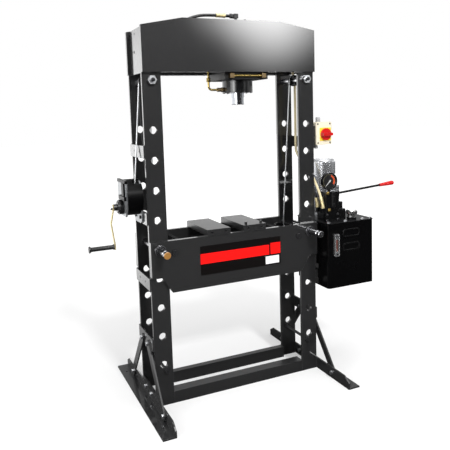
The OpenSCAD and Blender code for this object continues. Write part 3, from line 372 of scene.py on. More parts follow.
def weld_tree():
    tree, add, link, given = begin_tree("weld_runs", {"Bead radius": "Float", "Ripple": "Float"})
    run = add("GeometryNodeMeshToCurve")
    link(given["Geometry"], run.inputs["Mesh"])
    beads = add("GeometryNodeResampleCurve")
    beads.mode = "LENGTH"
    beads.inputs["Length"].default_value = bead_step
    link(run.outputs[0], beads.inputs["Curve"])
    round_bead = add("GeometryNodeCurvePrimitiveCircle")
    round_bead.inputs["Resolution"].default_value = bead_sides
    link(given["Bead radius"], round_bead.inputs["Radius"])
    sweep = add("GeometryNodeCurveToMesh")
    sweep.inputs["Fill Caps"].default_value = True
    link(beads.outputs[0], sweep.inputs["Curve"])
    link(round_bead.outputs[0], sweep.inputs["Profile Curve"])
    shiver = add("ShaderNodeTexNoise")
    shiver.inputs["Scale"].default_value = ripple_scale
    off = add("ShaderNodeVectorMath")
    off.operation = "SUBTRACT"
    off.inputs[1].default_value = (0.5, 0.5, 0.5)
    link(shiver.outputs["Color"], off.inputs[0])
    amount = add("ShaderNodeVectorMath")
    amount.operation = "SCALE"
    link(off.outputs[0], amount.inputs[0])
    link(given["Ripple"], amount.inputs["Scale"])
    push = add("GeometryNodeSetPosition")
    link(sweep.outputs[0], push.inputs["Geometry"])
    link(amount.outputs[0], push.inputs["Offset"])
    end_tree(add, link, given, push.outputs[0])
    return tree


def settle(name, mesh, tree, values, body):
    holder = bpy.data.objects.new(name, mesh)
    grow = holder.modifiers.new("grow", "NODES")
    grow.node_group = tree
    for item in tree.interface.items_tree:
        if item.item_type == "SOCKET" and item.in_out == "INPUT" and item.name in values:
            grow[item.identifier] = values[item.name]
    bpy.context.scene.collection.objects.link(holder)
    bpy.context.view_layer.update()
    seen = holder.evaluated_get(bpy.context.evaluated_depsgraph_get())
    grown = bpy.data.meshes.new_from_object(seen)
    holder.modifiers.clear()
    holder.data = grown
    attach(holder, body)


upright_low, upright_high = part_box("upright_front_right")
inner_x, outer_x = upright_low.x, upright_high.x
front_y, back_y = -upright_low.y, -upright_high.y
crown_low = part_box("crown_front_plate")[0].z
beam_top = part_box("lower_beams")[1].z
foot_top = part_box("foot_right")[1].z
beam_start, foot_start = 0.006, 0.010
tie_heights = (1.340, 0.659, 0.337)
tie_half = 0.032
tie_inset = 0.001
weld_runs = [
    ((inner_x, front_y, crown_low), (outer_x, front_y, crown_low)),
    ((inner_x, front_y, beam_start), (inner_x, front_y, beam_top)),
    ((outer_x, front_y, foot_start), (outer_x, front_y, foot_top)),
    ((outer_x, back_y, foot_start), (outer_x, back_y, foot_top)),
]
for tie_z in tie_heights:
    for edge_z in (tie_z - tie_half, tie_z + tie_half):
        weld_runs.append(((outer_x, front_y - tie_inset, edge_z), (outer_x, back_y, edge_z)))
weld_points = []
weld_lines = []
for run in weld_runs:
    for side in (-1, 1):
        for face in (-1, 1):
            weld_lines.append((len(weld_points), len(weld_points) + 1))
            weld_points += [(side * x, face * y, z) for x, y, z in run]
weld_mesh = bpy.data.meshes.new("weld_beads")
weld_mesh.from_pydata(weld_points, weld_lines, [])
weld_values = {"Bead radius": weld_radius, "Ripple": weld_ripple, "Finish": frame_paint}
settle("weld_beads", weld_mesh, weld_tree(), weld_values, "frame")

# Frame bolts and axle nuts. Bright zinc-plated hex bolts hold the feet and braces, and nuts the rope axles.
# The rods through the base, the sheave axles and the winch bolts are blackened.
zinc = (0.60, 0.61, 0.63)
blackened = (0.030, 0.030, 0.032)
black_rod = (blackened, 0.6, 0.35)
base_rods = {"Z": (0.165, 0.212)}
winch_bolts = {"Z": (0.985, 1.017)}
sheave_axles = {"Z": (0.60, 1.20)}
plating = {"roughness": 0.30, "metallic": 1.0, "mottle": 0.12, "edge": (0.1, 0.0006)}
bolt_fields = [(base_rods, *black_rod), (winch_bolts, *black_rod)]
plated_bolts = paint("plated_bolts", zinc, fields=bolt_fields, **plating)
plated_axles = paint("plated_axles", zinc, fields=[(sheave_axles, *black_rod)], **plating)
bright_zinc = paint("bright_zinc", zinc, **plating)
dark_steel = paint("dark_steel", (0.022, 0.022, 0.025), 0.32, metallic=0.6, mottle=0.2, edge=(0.3, 0.0010))
dress(plated_bolts, "frame_bolts")
dress(plated_axles, "rope_axles")

hex_head, small_round_head, round_head = 6, 16, 20
washer_sides = 28
washer_reach, washer_depth = 1.28, 0.22
flats_depth, chamfer_depth, chamfer_reach = 0.80, 0.20, 0.80
washer_lift, flats_lift, chamfer_lift = 0.11, 0.40, 0.80


def fastener_tree():
    inputs = {"Head radius": "Float", "Head height": "Float", "Sides": "Int", "Facing": "Vector"}
    tree, add, link, given = begin_tree("fastener_set", inputs)

    def scaled(value, factor):
        node = add("ShaderNodeMath")
        node.operation = "MULTIPLY"
        link(value, node.inputs[0])
        node.inputs[1].default_value = factor
        return node.outputs[0]

    def raised(mesh, factor):
        lift = add("ShaderNodeCombineXYZ")
        link(scaled(given["Head height"], factor), lift.inputs["Z"])
        move = add("GeometryNodeTransform")
        link(mesh, move.inputs["Geometry"])
        link(lift.outputs[0], move.inputs["Translation"])
        return move.outputs[0]

    washer = add("GeometryNodeMeshCylinder")
    washer.inputs["Vertices"].default_value = washer_sides
    link(scaled(given["Head radius"], washer_reach), washer.inputs["Radius"])
    link(scaled(given["Head height"], washer_depth), washer.inputs["Depth"])
    flats = add("GeometryNodeMeshCylinder")
    link(given["Sides"], flats.inputs["Vertices"])
    link(given["Head radius"], flats.inputs["Radius"])
    link(scaled(given["Head height"], flats_depth), flats.inputs["Depth"])
    chamfer = add("GeometryNodeMeshCone")
    link(given["Sides"], chamfer.inputs["Vertices"])
    link(scaled(given["Head radius"], chamfer_reach), chamfer.inputs["Radius Top"])
    link(given["Head radius"], chamfer.inputs["Radius Bottom"])
    link(scaled(given["Head height"], chamfer_depth), chamfer.inputs["Depth"])
    whole = add("GeometryNodeJoinGeometry")
    link(raised(washer.outputs["Mesh"], washer_lift), whole.inputs[0])
    link(raised(flats.outputs["Mesh"], flats_lift), whole.inputs[0])
    link(raised(chamfer.outputs["Mesh"], chamfer_lift), whole.inputs[0])
    aim = add("FunctionNodeAlignRotationToVector")
    aim.axis = "Z"
    link(given["Facing"], aim.inputs["Vector"])
    spread = add("GeometryNodeInstanceOnPoints")
    link(given["Geometry"], spread.inputs["Points"])
    link(whole.outputs[0], spread.inputs["Instance"])
    link(aim.outputs[0], spread.inputs["Rotation"])
    end_tree(add, link, given, spread.outputs[0])
    return tree


fastener_set = fastener_tree()


def fasteners(name, places, facing, size, finish, sides=hex_head, body="frame"):
    points = bpy.data.meshes.new(name)
    points.from_pydata([tuple(p) for p in places], [], [])
    radius, height = size
    values = {"Head radius": radius, "Head height": height, "Sides": sides,
              "Facing": facing, "Finish": finish}
    settle(name, points, fastener_set, values, body)


axle_x, axle_z = 0.447, 1.695
nut_face = -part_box("rope_axles")[0].y
axle_end = (0.0080, 0.0040)
for name, face in (("axle_ends_front", -1), ("axle_ends_rear", 1)):
    end_places = [(side * axle_x, face * nut_face, axle_z) for side in (-1, 1)]
    fasteners(name, end_places, (0, face, 0), axle_end, dark_steel, round_head)

# Bed. Two flame-cut plates with spacers welded between them, raised on the rope and held by the pins.
# Painted as the frame, with two loose machined blocks across the top that have black locating pegs.
pegs = ({"Z": (0.9155, 0.95)}, (0.006, 0.006, 0.006), 0.0, 0.4)
block_paint = paint("block_paint", (0.014, 0.014, 0.0145), 0.40, specular=0.25, coat=0.35,
                    coat_roughness=0.25, fields=[pegs])
dress(frame_paint, "bed_front_plate", "bed_rear_plate", "bed_spacers")
dress(block_paint, "press_block_left", "press_block_right")

# Bed panel. A thin printed sheet stuck to the front plate, here with its plain fields of colour alone:
# black, a red band with a red square beside it, and a white field at the lower right.
panel_red = ((0.96, 0.006, 0.005), 0.0, 0.32)
panel_white = ((0.86, 0.86, 0.86), 0.0, 0.40)
panel_fields = [
    ({"X": (-0.2290, 0.1800), "Z": (0.7350, 0.7900)}, *panel_red),
    ({"X": (0.1890, 0.2510), "Z": (0.7350, 0.7980)}, *panel_red),
    ({"X": (0.1570, 0.2420), "Z": (0.6820, 0.7250)}, *panel_white),
]
panel_print = paint("panel_print", (0.004, 0.003, 0.003), 0.40, mottle=0.05, edge=(0.05, 0.0005),
                    specular=0.12, fields=panel_fields)
dress(panel_print, "bed_panel")


# Bed pins. Long ground bars that pass through both bed plates and a pair of upright holes at each end.
# Each has a pressed-on collar that stops it at the front plate; the left one shows a bare sawn end.
def finished(name, mesh, finish, body, crease=35):
    mesh.materials.append(finish)
    mesh.polygons.foreach_set("use_smooth", [True] * len(mesh.polygons))
    mesh.set_sharp_from_angle(angle=radians(crease))
    piece = bpy.data.objects.new(name, mesh)
    bpy.context.scene.collection.objects.link(piece)
    if body:
        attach(piece, body)
    return piece


def mesh_of(name, shape):
    mesh = bpy.data.meshes.new(name)
    shape.to_mesh(mesh)
    shape.free()
    return mesh


def lathe(name, profile, at, axis, finish, body="frame", steps=48):
    aim = Vector(axis).to_track_quat("Z", "Y").to_matrix()
    shape = bmesh.new()
    rings = []
    for radius, along in profile:
        ring = []
        for k in range(steps):
            a = 2 * pi * k / steps
            ring.append(shape.verts.new(Vector(at) + aim @ Vector((radius * cos(a), radius * sin(a), along))))
        rings.append(ring)
    for low, high in zip(rings, rings[1:]):
        for k in range(steps):
            shape.faces.new((low[k], low[(k + 1) % steps], high[(k + 1) % steps], high[k]))
    bmesh.ops.remove_doubles(shape, verts=shape.verts, dist=1e-6)
    bmesh.ops.dissolve_degenerate(shape, edges=shape.edges, dist=1e-7)
    bmesh.ops.recalc_face_normals(shape, faces=shape.faces)
    finished(name, mesh_of(name, shape), finish, body)


sawn_end = ({"X": (-0.470, -0.424), "Y": (-0.270, -0.2625)}, (0.38, 0.18, 0.04), 0.3, 0.45)
# The pins' and collars' edges are strongly lightened: a painted highlight along their rims.
pin_steel = paint("pin_steel", (0.26, 0.26, 0.27), 0.24, metallic=1.0, mottle=0.2, edge=(0.6, 0.0014),
                  fields=[sawn_end])
collar_steel = paint("collar_steel", (0.05, 0.05, 0.055), 0.26, metallic=0.7, mottle=0.2, edge=(1.0, 0.0040))
dress(pin_steel, "bed_pin_left", "bed_pin_right")
pin_x, pin_z, bed_face = 0.447, 0.836, 0.1484
collar = [(0.0191, 0.0), (0.0285, 0.0), (0.0305, 0.002), (0.0305, 0.008), (0.0285, 0.010),
          (0.0191, 0.010), (0.0191, 0.0)]
for side, body in ((-1, "pin_left"), (1, "pin_right")):
    collar_at = (side * pin_x, -bed_face, pin_z)
    lathe(body + "_collar", collar, collar_at, (0, -1, 0), collar_steel, body)


# Lifting rope. Bright six-strand wire rope from the winch drum up over the left pulley, down and under the
# bed's two sheaves and up to the spool that holds its end on the right. The bed's weight keeps it taut.
def xz_arc(centre, radius, first, last, steps):
    points = []
    for k in range(steps + 1):
        a = radians(first + (last - first) * k / steps)
        points.append(Vector(centre) + Vector((radius * cos(a), 0.0, radius * sin(a))))
    return points


def stepped(points, step):
    route = [points[0]]
    for a, b in zip(points, points[1:]):
        count = max(1, round((b - a).length / step))
        route += [a.lerp(b, (k + 1) / count) for k in range(count)]
    return route


def tube_mesh(name, route, radius, sides, lobes=0, lobe_depth=0.0, twist_length=1.0):
    shape = bmesh.new()
    travels = []
    rings = []
    travelled = 0.0
    across = Vector((0, 1, 0))
    for i, here in enumerate(route):
        heading = (route[min(i + 1, len(route) - 1)] - route[max(i - 1, 0)]).normalized()
        across = (across - across.dot(heading) * heading).normalized()
        other = heading.cross(across)
        if i:
            travelled += (here - route[i - 1]).length
        reach = radius(travelled) if callable(radius) else radius
        spin = 2 * pi * travelled / twist_length if lobes else 0.0
        ring = []
        for k in range(sides):
            a = 2 * pi * k / sides
            r = reach * (1 - lobe_depth * (0.5 - 0.5 * cos(lobes * a)))
            ring.append(shape.verts.new(here + r * (cos(a + spin) * across + sin(a + spin) * other)))
        rings.append(ring)
        travels.append(travelled)
    layer = shape.loops.layers.uv.new("along")
    for i, (low, high) in enumerate(zip(rings, rings[1:])):
        for k in range(sides):
            face = shape.faces.new((low[k], low[(k + 1) % sides], high[(k + 1) % sides], high[k]))
            marks = ((i, k), (i, k + 1), (i + 1, k + 1), (i + 1, k))
            for loop, (row, column) in zip(face.loops, marks):
                loop[layer].uv = (travels[row], column / sides)
    shape.faces.new(list(reversed(rings[0])))
    shape.faces.new(rings[-1])
    bmesh.ops.recalc_face_normals(shape, faces=shape.faces)
    return mesh_of(name, shape)


rope_d, rope_sides, rope_step = 0.008, 18, 0.007
strand_count, strand_depth, strand_pitch = 6, 0.16, 0.052
drum_exit = Vector((-0.540, -0.045, 1.107))
pulley_r, sheave_r = 0.027, 0.033
sheave_x, sheave_y, sheave_z = 0.371, 0.078, 0.818
rope_arcs = [
    ((-axle_x, 0, axle_z), pulley_r, 180, 0, 24),
    ((-sheave_x, sheave_y, sheave_z), sheave_r, 180, 270, 14),
    ((sheave_x, sheave_y, sheave_z), sheave_r, 270, 360, 14),
    ((axle_x, 0, axle_z), pulley_r, 180, -60, 30),
]
rope_line = [drum_exit]
for arc in rope_arcs:
    rope_line += xz_arc(*arc)
rope_route = stepped(rope_line, rope_step)
wire_bright = paint("wire_bright", (0.50, 0.51, 0.52), 0.34, metallic=1.0, edge=(0.0, 0.0004))
rope_lay = (strand_count, strand_depth, strand_pitch)
rope_mesh = tube_mesh("wire_rope", rope_route, rope_d / 2, rope_sides, *rope_lay)
rope = finished("wire_rope", rope_mesh, wire_bright, "frame", crease=80)
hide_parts("lifting_rope")
dress(wire_bright, "rope_turns")

# Rope wheels. Cast iron pulley, spool and sheaves that turn on the axles and guide the rope.
# Their grooves are turned, and the whole wheel is painted gloss black.
gloss_black = paint("gloss_black", (0.003, 0.003, 0.0033), 0.18, edge=(0.10, 0.0012), specular=0.5)
dress(gloss_black, "top_pulley", "rope_anchor", "bed_sheave_left", "bed_sheave_right")

# Winch. A zinc-plated frame bolted to a bar between the left uprights carries the drum under a black sheet
# cover with a folded lip. The crank turns it through a black hub, and a black pawl on an arm holds it;
# the crank's arm is yellow-plated bar, held by a plated nut.
shaft_nut = ({"X": (-0.70, -0.6465)}, zinc, 1.0, 0.28)
grey_zinc = paint("grey_zinc", (0.29, 0.30, 0.31), 0.42, metallic=0.8, mottle=0.15, edge=(0.1, 0.0008))
yellow_zinc = paint("yellow_zinc", (0.48, 0.35, 0.11), 0.26, metallic=0.9, mottle=0.15, edge=(0.1, 0.0006))
pale_zinc = paint("pale_zinc", (0.66, 0.56, 0.31), 0.34, metallic=0.6, mottle=0.12, edge=(0.1, 0.0006))
# The hub's edges are lightened as painted glints on its teeth and rims.
hub_black = paint("hub_black", (0.006, 0.006, 0.0065), 0.28, edge=(0.5, 0.0016), specular=0.4,
                  fields=[shaft_nut])
grip_black = paint("grip_black", (0.008, 0.008, 0.0085), 0.46, peel=300.0, depth=0.0002, edge=(0.05, 0.001))
cover_black = paint("cover_black", (0.0014, 0.0014, 0.0016), 0.36, edge=(0.10, 0.0012), specular=0.08)
dress(grey_zinc, "winch_frame", "winch_drum")
dress(cover_black, "winch_cover")
dress(hub_black, "crank_shaft")
dress(pale_zinc, "crank_arm")
dress(grip_black, "crank_grip")


def slab(name, low, high, finish, body="frame", bevel=0.0008):
    middle = (Vector(low) + Vector(high)) / 2
    span = Vector(high) - Vector(low)
    shape = bmesh.new()
    bmesh.ops.create_cube(shape, size=1.0)
    for vert in shape.verts:
        vert.co = middle + Vector((a * b for a, b in zip(vert.co, span)))
    bmesh.ops.bevel(shape, geom=shape.edges, offset=bevel, segments=2, affect="EDGES")
    finished(name, mesh_of(name, shape), finish, body)


winch_low, winch_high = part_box("winch_frame")
plate_x = winch_low.x
pawl_arm_low, pawl_low, pawl_high = 1.097, 1.118, 1.1837
lip_low, lip_high = winch_high.z - 0.012, winch_high.z + 0.004
winch_slabs = [
    ("pawl", (plate_x - 0.008, -0.060, pawl_low), (plate_x, -0.020, pawl_high)),
    ("pawl_arm", (plate_x - 0.012, -0.084, pawl_arm_low), (plate_x, 0.030, pawl_low)),
    ("cover_lip", (plate_x - 0.006, -0.086, lip_low), (plate_x + 0.008, 0.070, lip_high)),
]
for name, low, high in winch_slabs:
    slab(name, low, high, cover_black)

# Carriage and hydraulic cylinder. A thick plate hangs from the crown's rails and carries a black cylinder,
# its chromed ram and screwed head, and yellow-plated pipes that bring the oil to both ends.
hard_chrome = paint("hard_chrome", (0.36, 0.37, 0.39), 0.14, metallic=1.0, mottle=0.03, depth=0.00001,
                    edge=(0.0, 0.0008))
unions = ({"Z": (1.50, 1.90)}, (0.17, 0.12, 0.06), 0.9, 0.30)
fitting_finish = paint("fitting_finish", (0.008, 0.008, 0.009), 0.30, edge=(0.2, 0.0008), fields=[unions])
carriage_paint = paint("carriage_paint", (0.012, 0.012, 0.0125), 0.42, specular=0.25)
dress(carriage_paint, "carriage_plate", "carriage_hangers")
dress(gloss_black, "cylinder_barrel", "cylinder_cap", "cylinder_gland")
dress(fitting_finish, "hydraulic_fittings")
dress(hard_chrome, "ram_rod", "ram_head")
dress(yellow_zinc, "zinc_pipes")
cylinder_x = 0.085
screw_count = 8
cap_circle, gland_circle = 0.067, 0.074
cap_bolt, gland_screw, nose_screw = (0.0075, 0.007), (0.0045, 0.003), (0.0042, 0.0022)
screw_sunk = 0.0004


def ring_places(z, radius):
    turns = [2 * pi * (k + 0.5) / screw_count for k in range(screw_count)]
    return [(cylinder_x + radius * cos(a), radius * sin(a), z) for a in turns]


cap_places = ring_places(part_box("cylinder_cap")[1].z, cap_circle)
gland_places = ring_places(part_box("cylinder_gland")[0].z, gland_circle)
fasteners("cap_bolts", cap_places, (0, 0, 1), cap_bolt, dark_steel, body="carriage")
fasteners("gland_screws", gland_places, (0, 0, -1), gland_screw, dark_steel, small_round_head,
          body="carriage")
head_low, head_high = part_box("ram_head")
head_places = [(cylinder_x, head_low.y + screw_sunk, (head_low.z + head_high.z) / 2)]
fasteners("head_screw", head_places, (0, -1, 0), nose_screw, dark_steel, small_round_head,
          body="ram")

# Oil tank. A folded and welded sheet tank hung on the right uprights, with pressed ribs on its front,
# a bolted lid, a plated breather cap on a short neck, and a level glass in a plated frame.
tank_low, tank_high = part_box("tank_lid")
lid_z = 0.884
corner_inset = 0.017
head_half = 0.013
head_rise = (lid_z + 0.0004, lid_z + 0.012)
corner_bolts = []
for x in (tank_low.x + corner_inset, tank_high.x - corner_inset):
    for y in (tank_low.y + corner_inset, tank_high.y - corner_inset):
        area = {"X": (x - head_half, x + head_half), "Y": (y - head_half, y + head_half), "Z": head_rise}
        corner_bolts.append((area, zinc, 1.0, 0.30))
tank_black = paint("tank_black", (0.0012, 0.0012, 0.0014), 0.26, edge=(0.14, 0.0014), specular=0.14)
lid_black = paint("lid_black", (0.004, 0.004, 0.0045), 0.42, edge=(0.2, 0.0012), specular=0.06,
                  fields=corner_bolts)
cap_chrome = paint("cap_chrome", (0.74, 0.74, 0.73), 0.16, metallic=1.0, mottle=0.05, edge=(0.0, 0.0008))
dress(tank_black, "tank_shell")
dress(lid_black, "tank_lid")
dress(cap_chrome, "filler_cap")
lid_bolt = (0.0085, 0.0075)
edge_points = [(0.640, -0.220), (0.760, -0.222), (0.600, 0.080), (0.740, 0.080), (0.814, -0.070)]
edge_places = [(x, y, lid_z) for x, y in edge_points]
fasteners("lid_bolts", edge_places, (0, 0, 1), lid_bolt, bright_zinc)

glass_low, glass_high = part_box("sight_glass")
glass_x = (glass_low.x + glass_high.x) / 2
oil_half, line_half = 0.0085, 0.0012
oil_end, level_screw_end = 0.0295, 0.014
level_screw = (0.0062, 0.0036)
oil_depth = (glass_low.y + 0.001, 0.0)
oil_height = (glass_low.z + oil_end, glass_high.z - oil_end)
oil_window = {"X": (glass_x - oil_half, glass_x + oil_half), "Y": oil_depth, "Z": oil_height}
oil_line = {"X": (glass_x - line_half, glass_x + line_half), "Y": oil_depth, "Z": oil_height}
level_fields = [(oil_window, (0.020, 0.014, 0.010), 0.0, 0.06), (oil_line, (0.45, 0.16, 0.14), 0.0, 0.15)]
level_frame = paint("level_frame", (0.62, 0.63, 0.64), 0.26, metallic=0.9, edge=(0.1, 0.0008),
                    fields=level_fields)
dress(level_frame, "sight_glass")
level_heights = (glass_low.z + level_screw_end, glass_high.z - level_screw_end)
level_screws = [(glass_x, glass_low.y, z) for z in level_heights]
fasteners("level_screws", level_screws, (0, -1, 0), level_screw, dark_steel)

# Motor. An aluminium electric motor with cast fins stands on the lid, under a pressed fan cowl with vents.
# Its terminal box faces the valve and has a screwed cover.
cast_silver = paint("cast_silver", (0.54, 0.55, 0.57), 0.26, metallic=0.85, mottle=0.12, edge=(0.2, 0.001))
dress(cast_silver, "motor_body", "motor_cowl")
terminal_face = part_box("motor_body")[0].y
terminal_screw = (0.0040, 0.0028)
terminal_columns, terminal_rows = (0.612, 0.684), (0.999, 1.065)
cover_places = [(x, terminal_face, z) for x in terminal_columns for z in terminal_rows]
fasteners("terminal_screws", cover_places, (0, -1, 0), terminal_screw, bright_zinc)

# Valve. A black steel block on the lid with stepped sides, elbows for the two hoses and a fork for the lever.
# Two yellow-plated plugs and a round cartridge stand on its front; the lever ends in a red ball-ended grip.
valve_black = paint("valve_black", (0.0022, 0.0022, 0.0025), 0.22, edge=(0.16, 0.0012), specular=0.4)
lever_black = paint("lever_black", (0.003, 0.003, 0.0033), 0.34, edge=(0.1, 0.0010), specular=0.22)
# The red parts' edges are lightened as a painted highlight.
signal_red = paint("signal_red", (0.52, 0.005, 0.005), 0.24, mottle=0.05, edge=(0.20, 0.0014))
dress(valve_black, "valve_block")
dress(lever_black, "valve_lever")
dress(signal_red, "lever_grip")
valve_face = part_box("valve_block")[0].y
valve_plug, valve_screw = (0.0080, 0.0080), (0.0055, 0.0045)
valve_columns, valve_rows = (0.540, 0.612), (0.893, 0.925)
plug_places = [(0.544, valve_face, 1.050), (0.553, valve_face, 0.953)]
fasteners("valve_plugs", plug_places, (0, -1, 0), valve_plug, yellow_zinc)
cartridge_at = (0.581, valve_face + 0.002, 0.966)
cartridge = [(0.0, 0.0), (0.0120, 0.0), (0.0135, 0.0015), (0.0135, 0.020), (0.0118, 0.0215),
             (0.0118, 0.024), (0.0135, 0.0255), (0.0135, 0.062), (0.0118, 0.0635), (0.0118, 0.066),
             (0.0135, 0.0675), (0.0135, 0.088), (0.0120, 0.0895), (0.0, 0.0895)]
lathe("valve_cartridge", cartridge, cartridge_at, (0, 0, 1), lever_black)
block_screws = [(x, valve_face, z) for x in valve_columns for z in valve_rows]
fasteners("valve_screws", block_screws, (0, -1, 0), valve_screw, dark_steel, round_head)

# Pressure gauge. A black pressed case on the valve with a black dial, a red arc over the working range,
# fine pale divisions and a white needle under a clear window.
gauge_x, gauge_z, dial_y = 0.562, 1.116, -0.1792
dial_hole, dial_r, dial_sheet = 0.0028, 0.0455, 0.0004
band_front, band_rear = dial_y - 0.0008, dial_y - 0.0003
red_turn, red_reach = (68, -32), (0.0290, 0.0385)
ring_turn, ring_reach = (225, 70), (0.0375, 0.0395)
division_count = 25
division_r = 0.0425
division_y = dial_y - 0.0006
division_size = (0.0045, 0.0004, 0.0007)
scale_start, scale_sweep = 225, 270
printed = {"mottle": 0.05, "edge": (0.0, 0.0004)}
case_black = paint("case_black", (0.003, 0.003, 0.0033), 0.22, edge=(0.12, 0.0010), specular=0.4)
dial_black = paint("dial_black", (0.006, 0.006, 0.006), 0.55, mottle=0.2, edge=(0.0, 0.0004))
dial_red = paint("dial_red", (0.80, 0.10, 0.02), 0.50, **printed)
dial_olive = paint("dial_olive", (0.16, 0.15, 0.07), 0.50, **printed)
needle_white = paint("needle_white", (0.88, 0.88, 0.87), 0.45, mottle=0.04, edge=(0.0, 0.0004))
dress(case_black, "gauge_case")
dress(needle_white, "gauge_needle")
dial = [(dial_hole, 0.0), (dial_r, 0.0), (dial_r, dial_sheet), (dial_hole, dial_sheet), (dial_hole, 0.0)]
lathe("gauge_dial", dial, (gauge_x, dial_y, gauge_z), (0, -1, 0), dial_black)


def dial_band(name, turn, reach, finish, steps=48):
    first, last = turn
    inner, outer = reach
    shape = bmesh.new()
    corners = ((inner, band_front), (outer, band_front), (outer, band_rear), (inner, band_rear))
    rows = []
    for k in range(steps + 1):
        a = radians(first + (last - first) * k / steps)
        rows.append([shape.verts.new((gauge_x + r * cos(a), y, gauge_z + r * sin(a))) for r, y in corners])
    for low, high in zip(rows, rows[1:]):
        for k in range(4):
            shape.faces.new((low[k], low[(k + 1) % 4], high[(k + 1) % 4], high[k]))
    shape.faces.new(rows[0])
    shape.faces.new(list(reversed(rows[-1])))
    bmesh.ops.recalc_face_normals(shape, faces=shape.faces)
    finished(name, mesh_of(name, shape), finish, "frame")


dial_band("dial_red_arc", red_turn, red_reach, dial_red)
dial_band("dial_ring", ring_turn, ring_reach, dial_olive)


def division_tree():
    tree, add, link, given = begin_tree("dial_divisions", {"Size": "Vector", "Centre": "Vector"})
    mark = add("GeometryNodeMeshCube")
    link(given["Size"], mark.inputs["Size"])
    outward = add("ShaderNodeVectorMath")
    outward.operation = "SUBTRACT"
    link(add("GeometryNodeInputPosition").outputs[0], outward.inputs[0])
    link(given["Centre"], outward.inputs[1])
    aim = add("FunctionNodeAlignRotationToVector")
    aim.axis = "X"
    aim.pivot_axis = "Y"
    link(outward.outputs[0], aim.inputs["Vector"])
    spread = add("GeometryNodeInstanceOnPoints")
    link(given["Geometry"], spread.inputs["Points"])
    link(mark.outputs["Mesh"], spread.inputs["Instance"])
    link(aim.outputs[0], spread.inputs["Rotation"])
    end_tree(add, link, given, spread.outputs[0])
    return tree


turns = [radians(scale_start - scale_sweep * k / (division_count - 1)) for k in range(division_count)]
marks = [(gauge_x + division_r * cos(a), division_y, gauge_z + division_r * sin(a)) for a in turns]
division_mesh = bpy.data.meshes.new("dial_divisions")
division_mesh.from_pydata(marks, [], [])
division_values = {"Size": division_size, "Centre": (gauge_x, division_y, gauge_z), "Finish": needle_white}
settle("dial_divisions", division_mesh, division_tree(), division_values, "frame")


def clear_sheet(name, smear_scale=40.0, dullness=(0.02, 0.07), tint=(0.02, 0.02, 0.02, 1.0), alpha=0.08):
    material = bpy.data.materials.new(name)
    material.use_nodes = True
    material.surface_render_method = "BLENDED"
    links = material.node_tree.links
    add = material.node_tree.nodes.new
    shader = material.node_tree.nodes["Principled BSDF"]
    smear = add("ShaderNodeTexNoise")
    smear.inputs["Scale"].default_value = smear_scale
    links.new(add("ShaderNodeTexCoord").outputs["Object"], smear.inputs["Vector"])
    sheen = add("ShaderNodeMapRange")
    sheen.inputs["To Min"].default_value = dullness[0]
    sheen.inputs["To Max"].default_value = dullness[1]
    links.new(smear.outputs["Fac"], sheen.inputs["Value"])
    links.new(sheen.outputs[0], shader.inputs["Roughness"])
    shader.inputs["Base Color"].default_value = tint
    shader.inputs["Alpha"].default_value = alpha
    return material


dress(clear_sheet("clear_window"), "gauge_glass")

# Switch box. A cream moulded box bolted to the right uprights, with a yellow plate behind a red rotary knob,
# four cover screws and a cable gland above and below.
plate_yellow = (0.86, 0.62, 0.02)
gland_grey = (0.34, 0.34, 0.35)
box_fields = [
    ({"Y": (-0.1340, -0.1302)}, plate_yellow, 0.0, 0.36),
    ({"Y": (-0.2000, -0.1340)}, blackened, 0.0, 0.40),
    ({"Z": (1.2800, 1.3226)}, gland_grey, 0.0, 0.42),
]
box_cream = paint("box_cream", (0.76, 0.70, 0.55), 0.42, mottle=0.05, edge=(0.1, 0.0015), fields=box_fields)
gland_plastic = paint("gland_plastic", gland_grey, 0.42, mottle=0.06, edge=(0.1, 0.0008))
dress(box_cream, "switch_box")
dress(signal_red, "switch_knob")
box_low, box_high = Vector((0.512, -0.130, 1.323)), Vector((0.616, -0.062, 1.453))
screw_inset = 0.011
box_screw = (0.0042, 0.0016)
screw_columns = (box_low.x + screw_inset, box_high.x - screw_inset)
screw_rows = (box_low.z + screw_inset, box_high.z - screw_inset)
box_screws = [(x, box_low.y, z) for x in screw_columns for z in screw_rows]
fasteners("box_screws", box_screws, (0, -1, 0), box_screw, dark_steel, round_head)
gland_at = (0.546, -0.096, box_high.z)
gland = [(0.0, 0.0), (0.0140, 0.0), (0.0140, 0.006), (0.0120, 0.0068), (0.0120, 0.010), (0.0132, 0.011),
         (0.0132, 0.021), (0.0112, 0.0265), (0.0080, 0.028), (0.0, 0.028)]
lathe("box_gland", gland, gland_at, (0, 0, 1), gland_plastic)

# Hoses. A rubber-covered pressure hose and a slimmer cream return hose run from the valve up inside the
# right uprights, along the crown and over to the cylinder, with crimped plated ferrules at their ends.
# Their routes are given in millimetres.
mm_per_metre = 1000
route_steps = 8
hose_sides, ferrule_sides = 22, 24
ferrule_step, ferrule_start = 0.0016, 0.0006
crimp_pitch, crimp_width = 0.0085, 0.0030
crimp_from, crimp_before_end = 0.010, 0.006
flare_length = 0.0085
flare_rise, crimp_rise, sleeve_rise = 0.0040, 0.0017, 0.0029
weave_turns, weave_depth, weave_strength = 8.0, 0.0002, 0.4


def smooth_route(points):
    p = [Vector(q) / mm_per_metre for q in points]
    p = [p[0]] + p + [p[-1]]
    route = []
    for a, b, c, d in zip(p, p[1:], p[2:], p[3:]):
        for s in range(route_steps):
            t = s / route_steps
            bend = (2 * a - 5 * b + 4 * c - d) * t ** 2 + (3 * b - a - 3 * c + d) * t ** 3
            route.append(0.5 * (2 * b + (c - a) * t + bend))
    return route + [p[-1]]


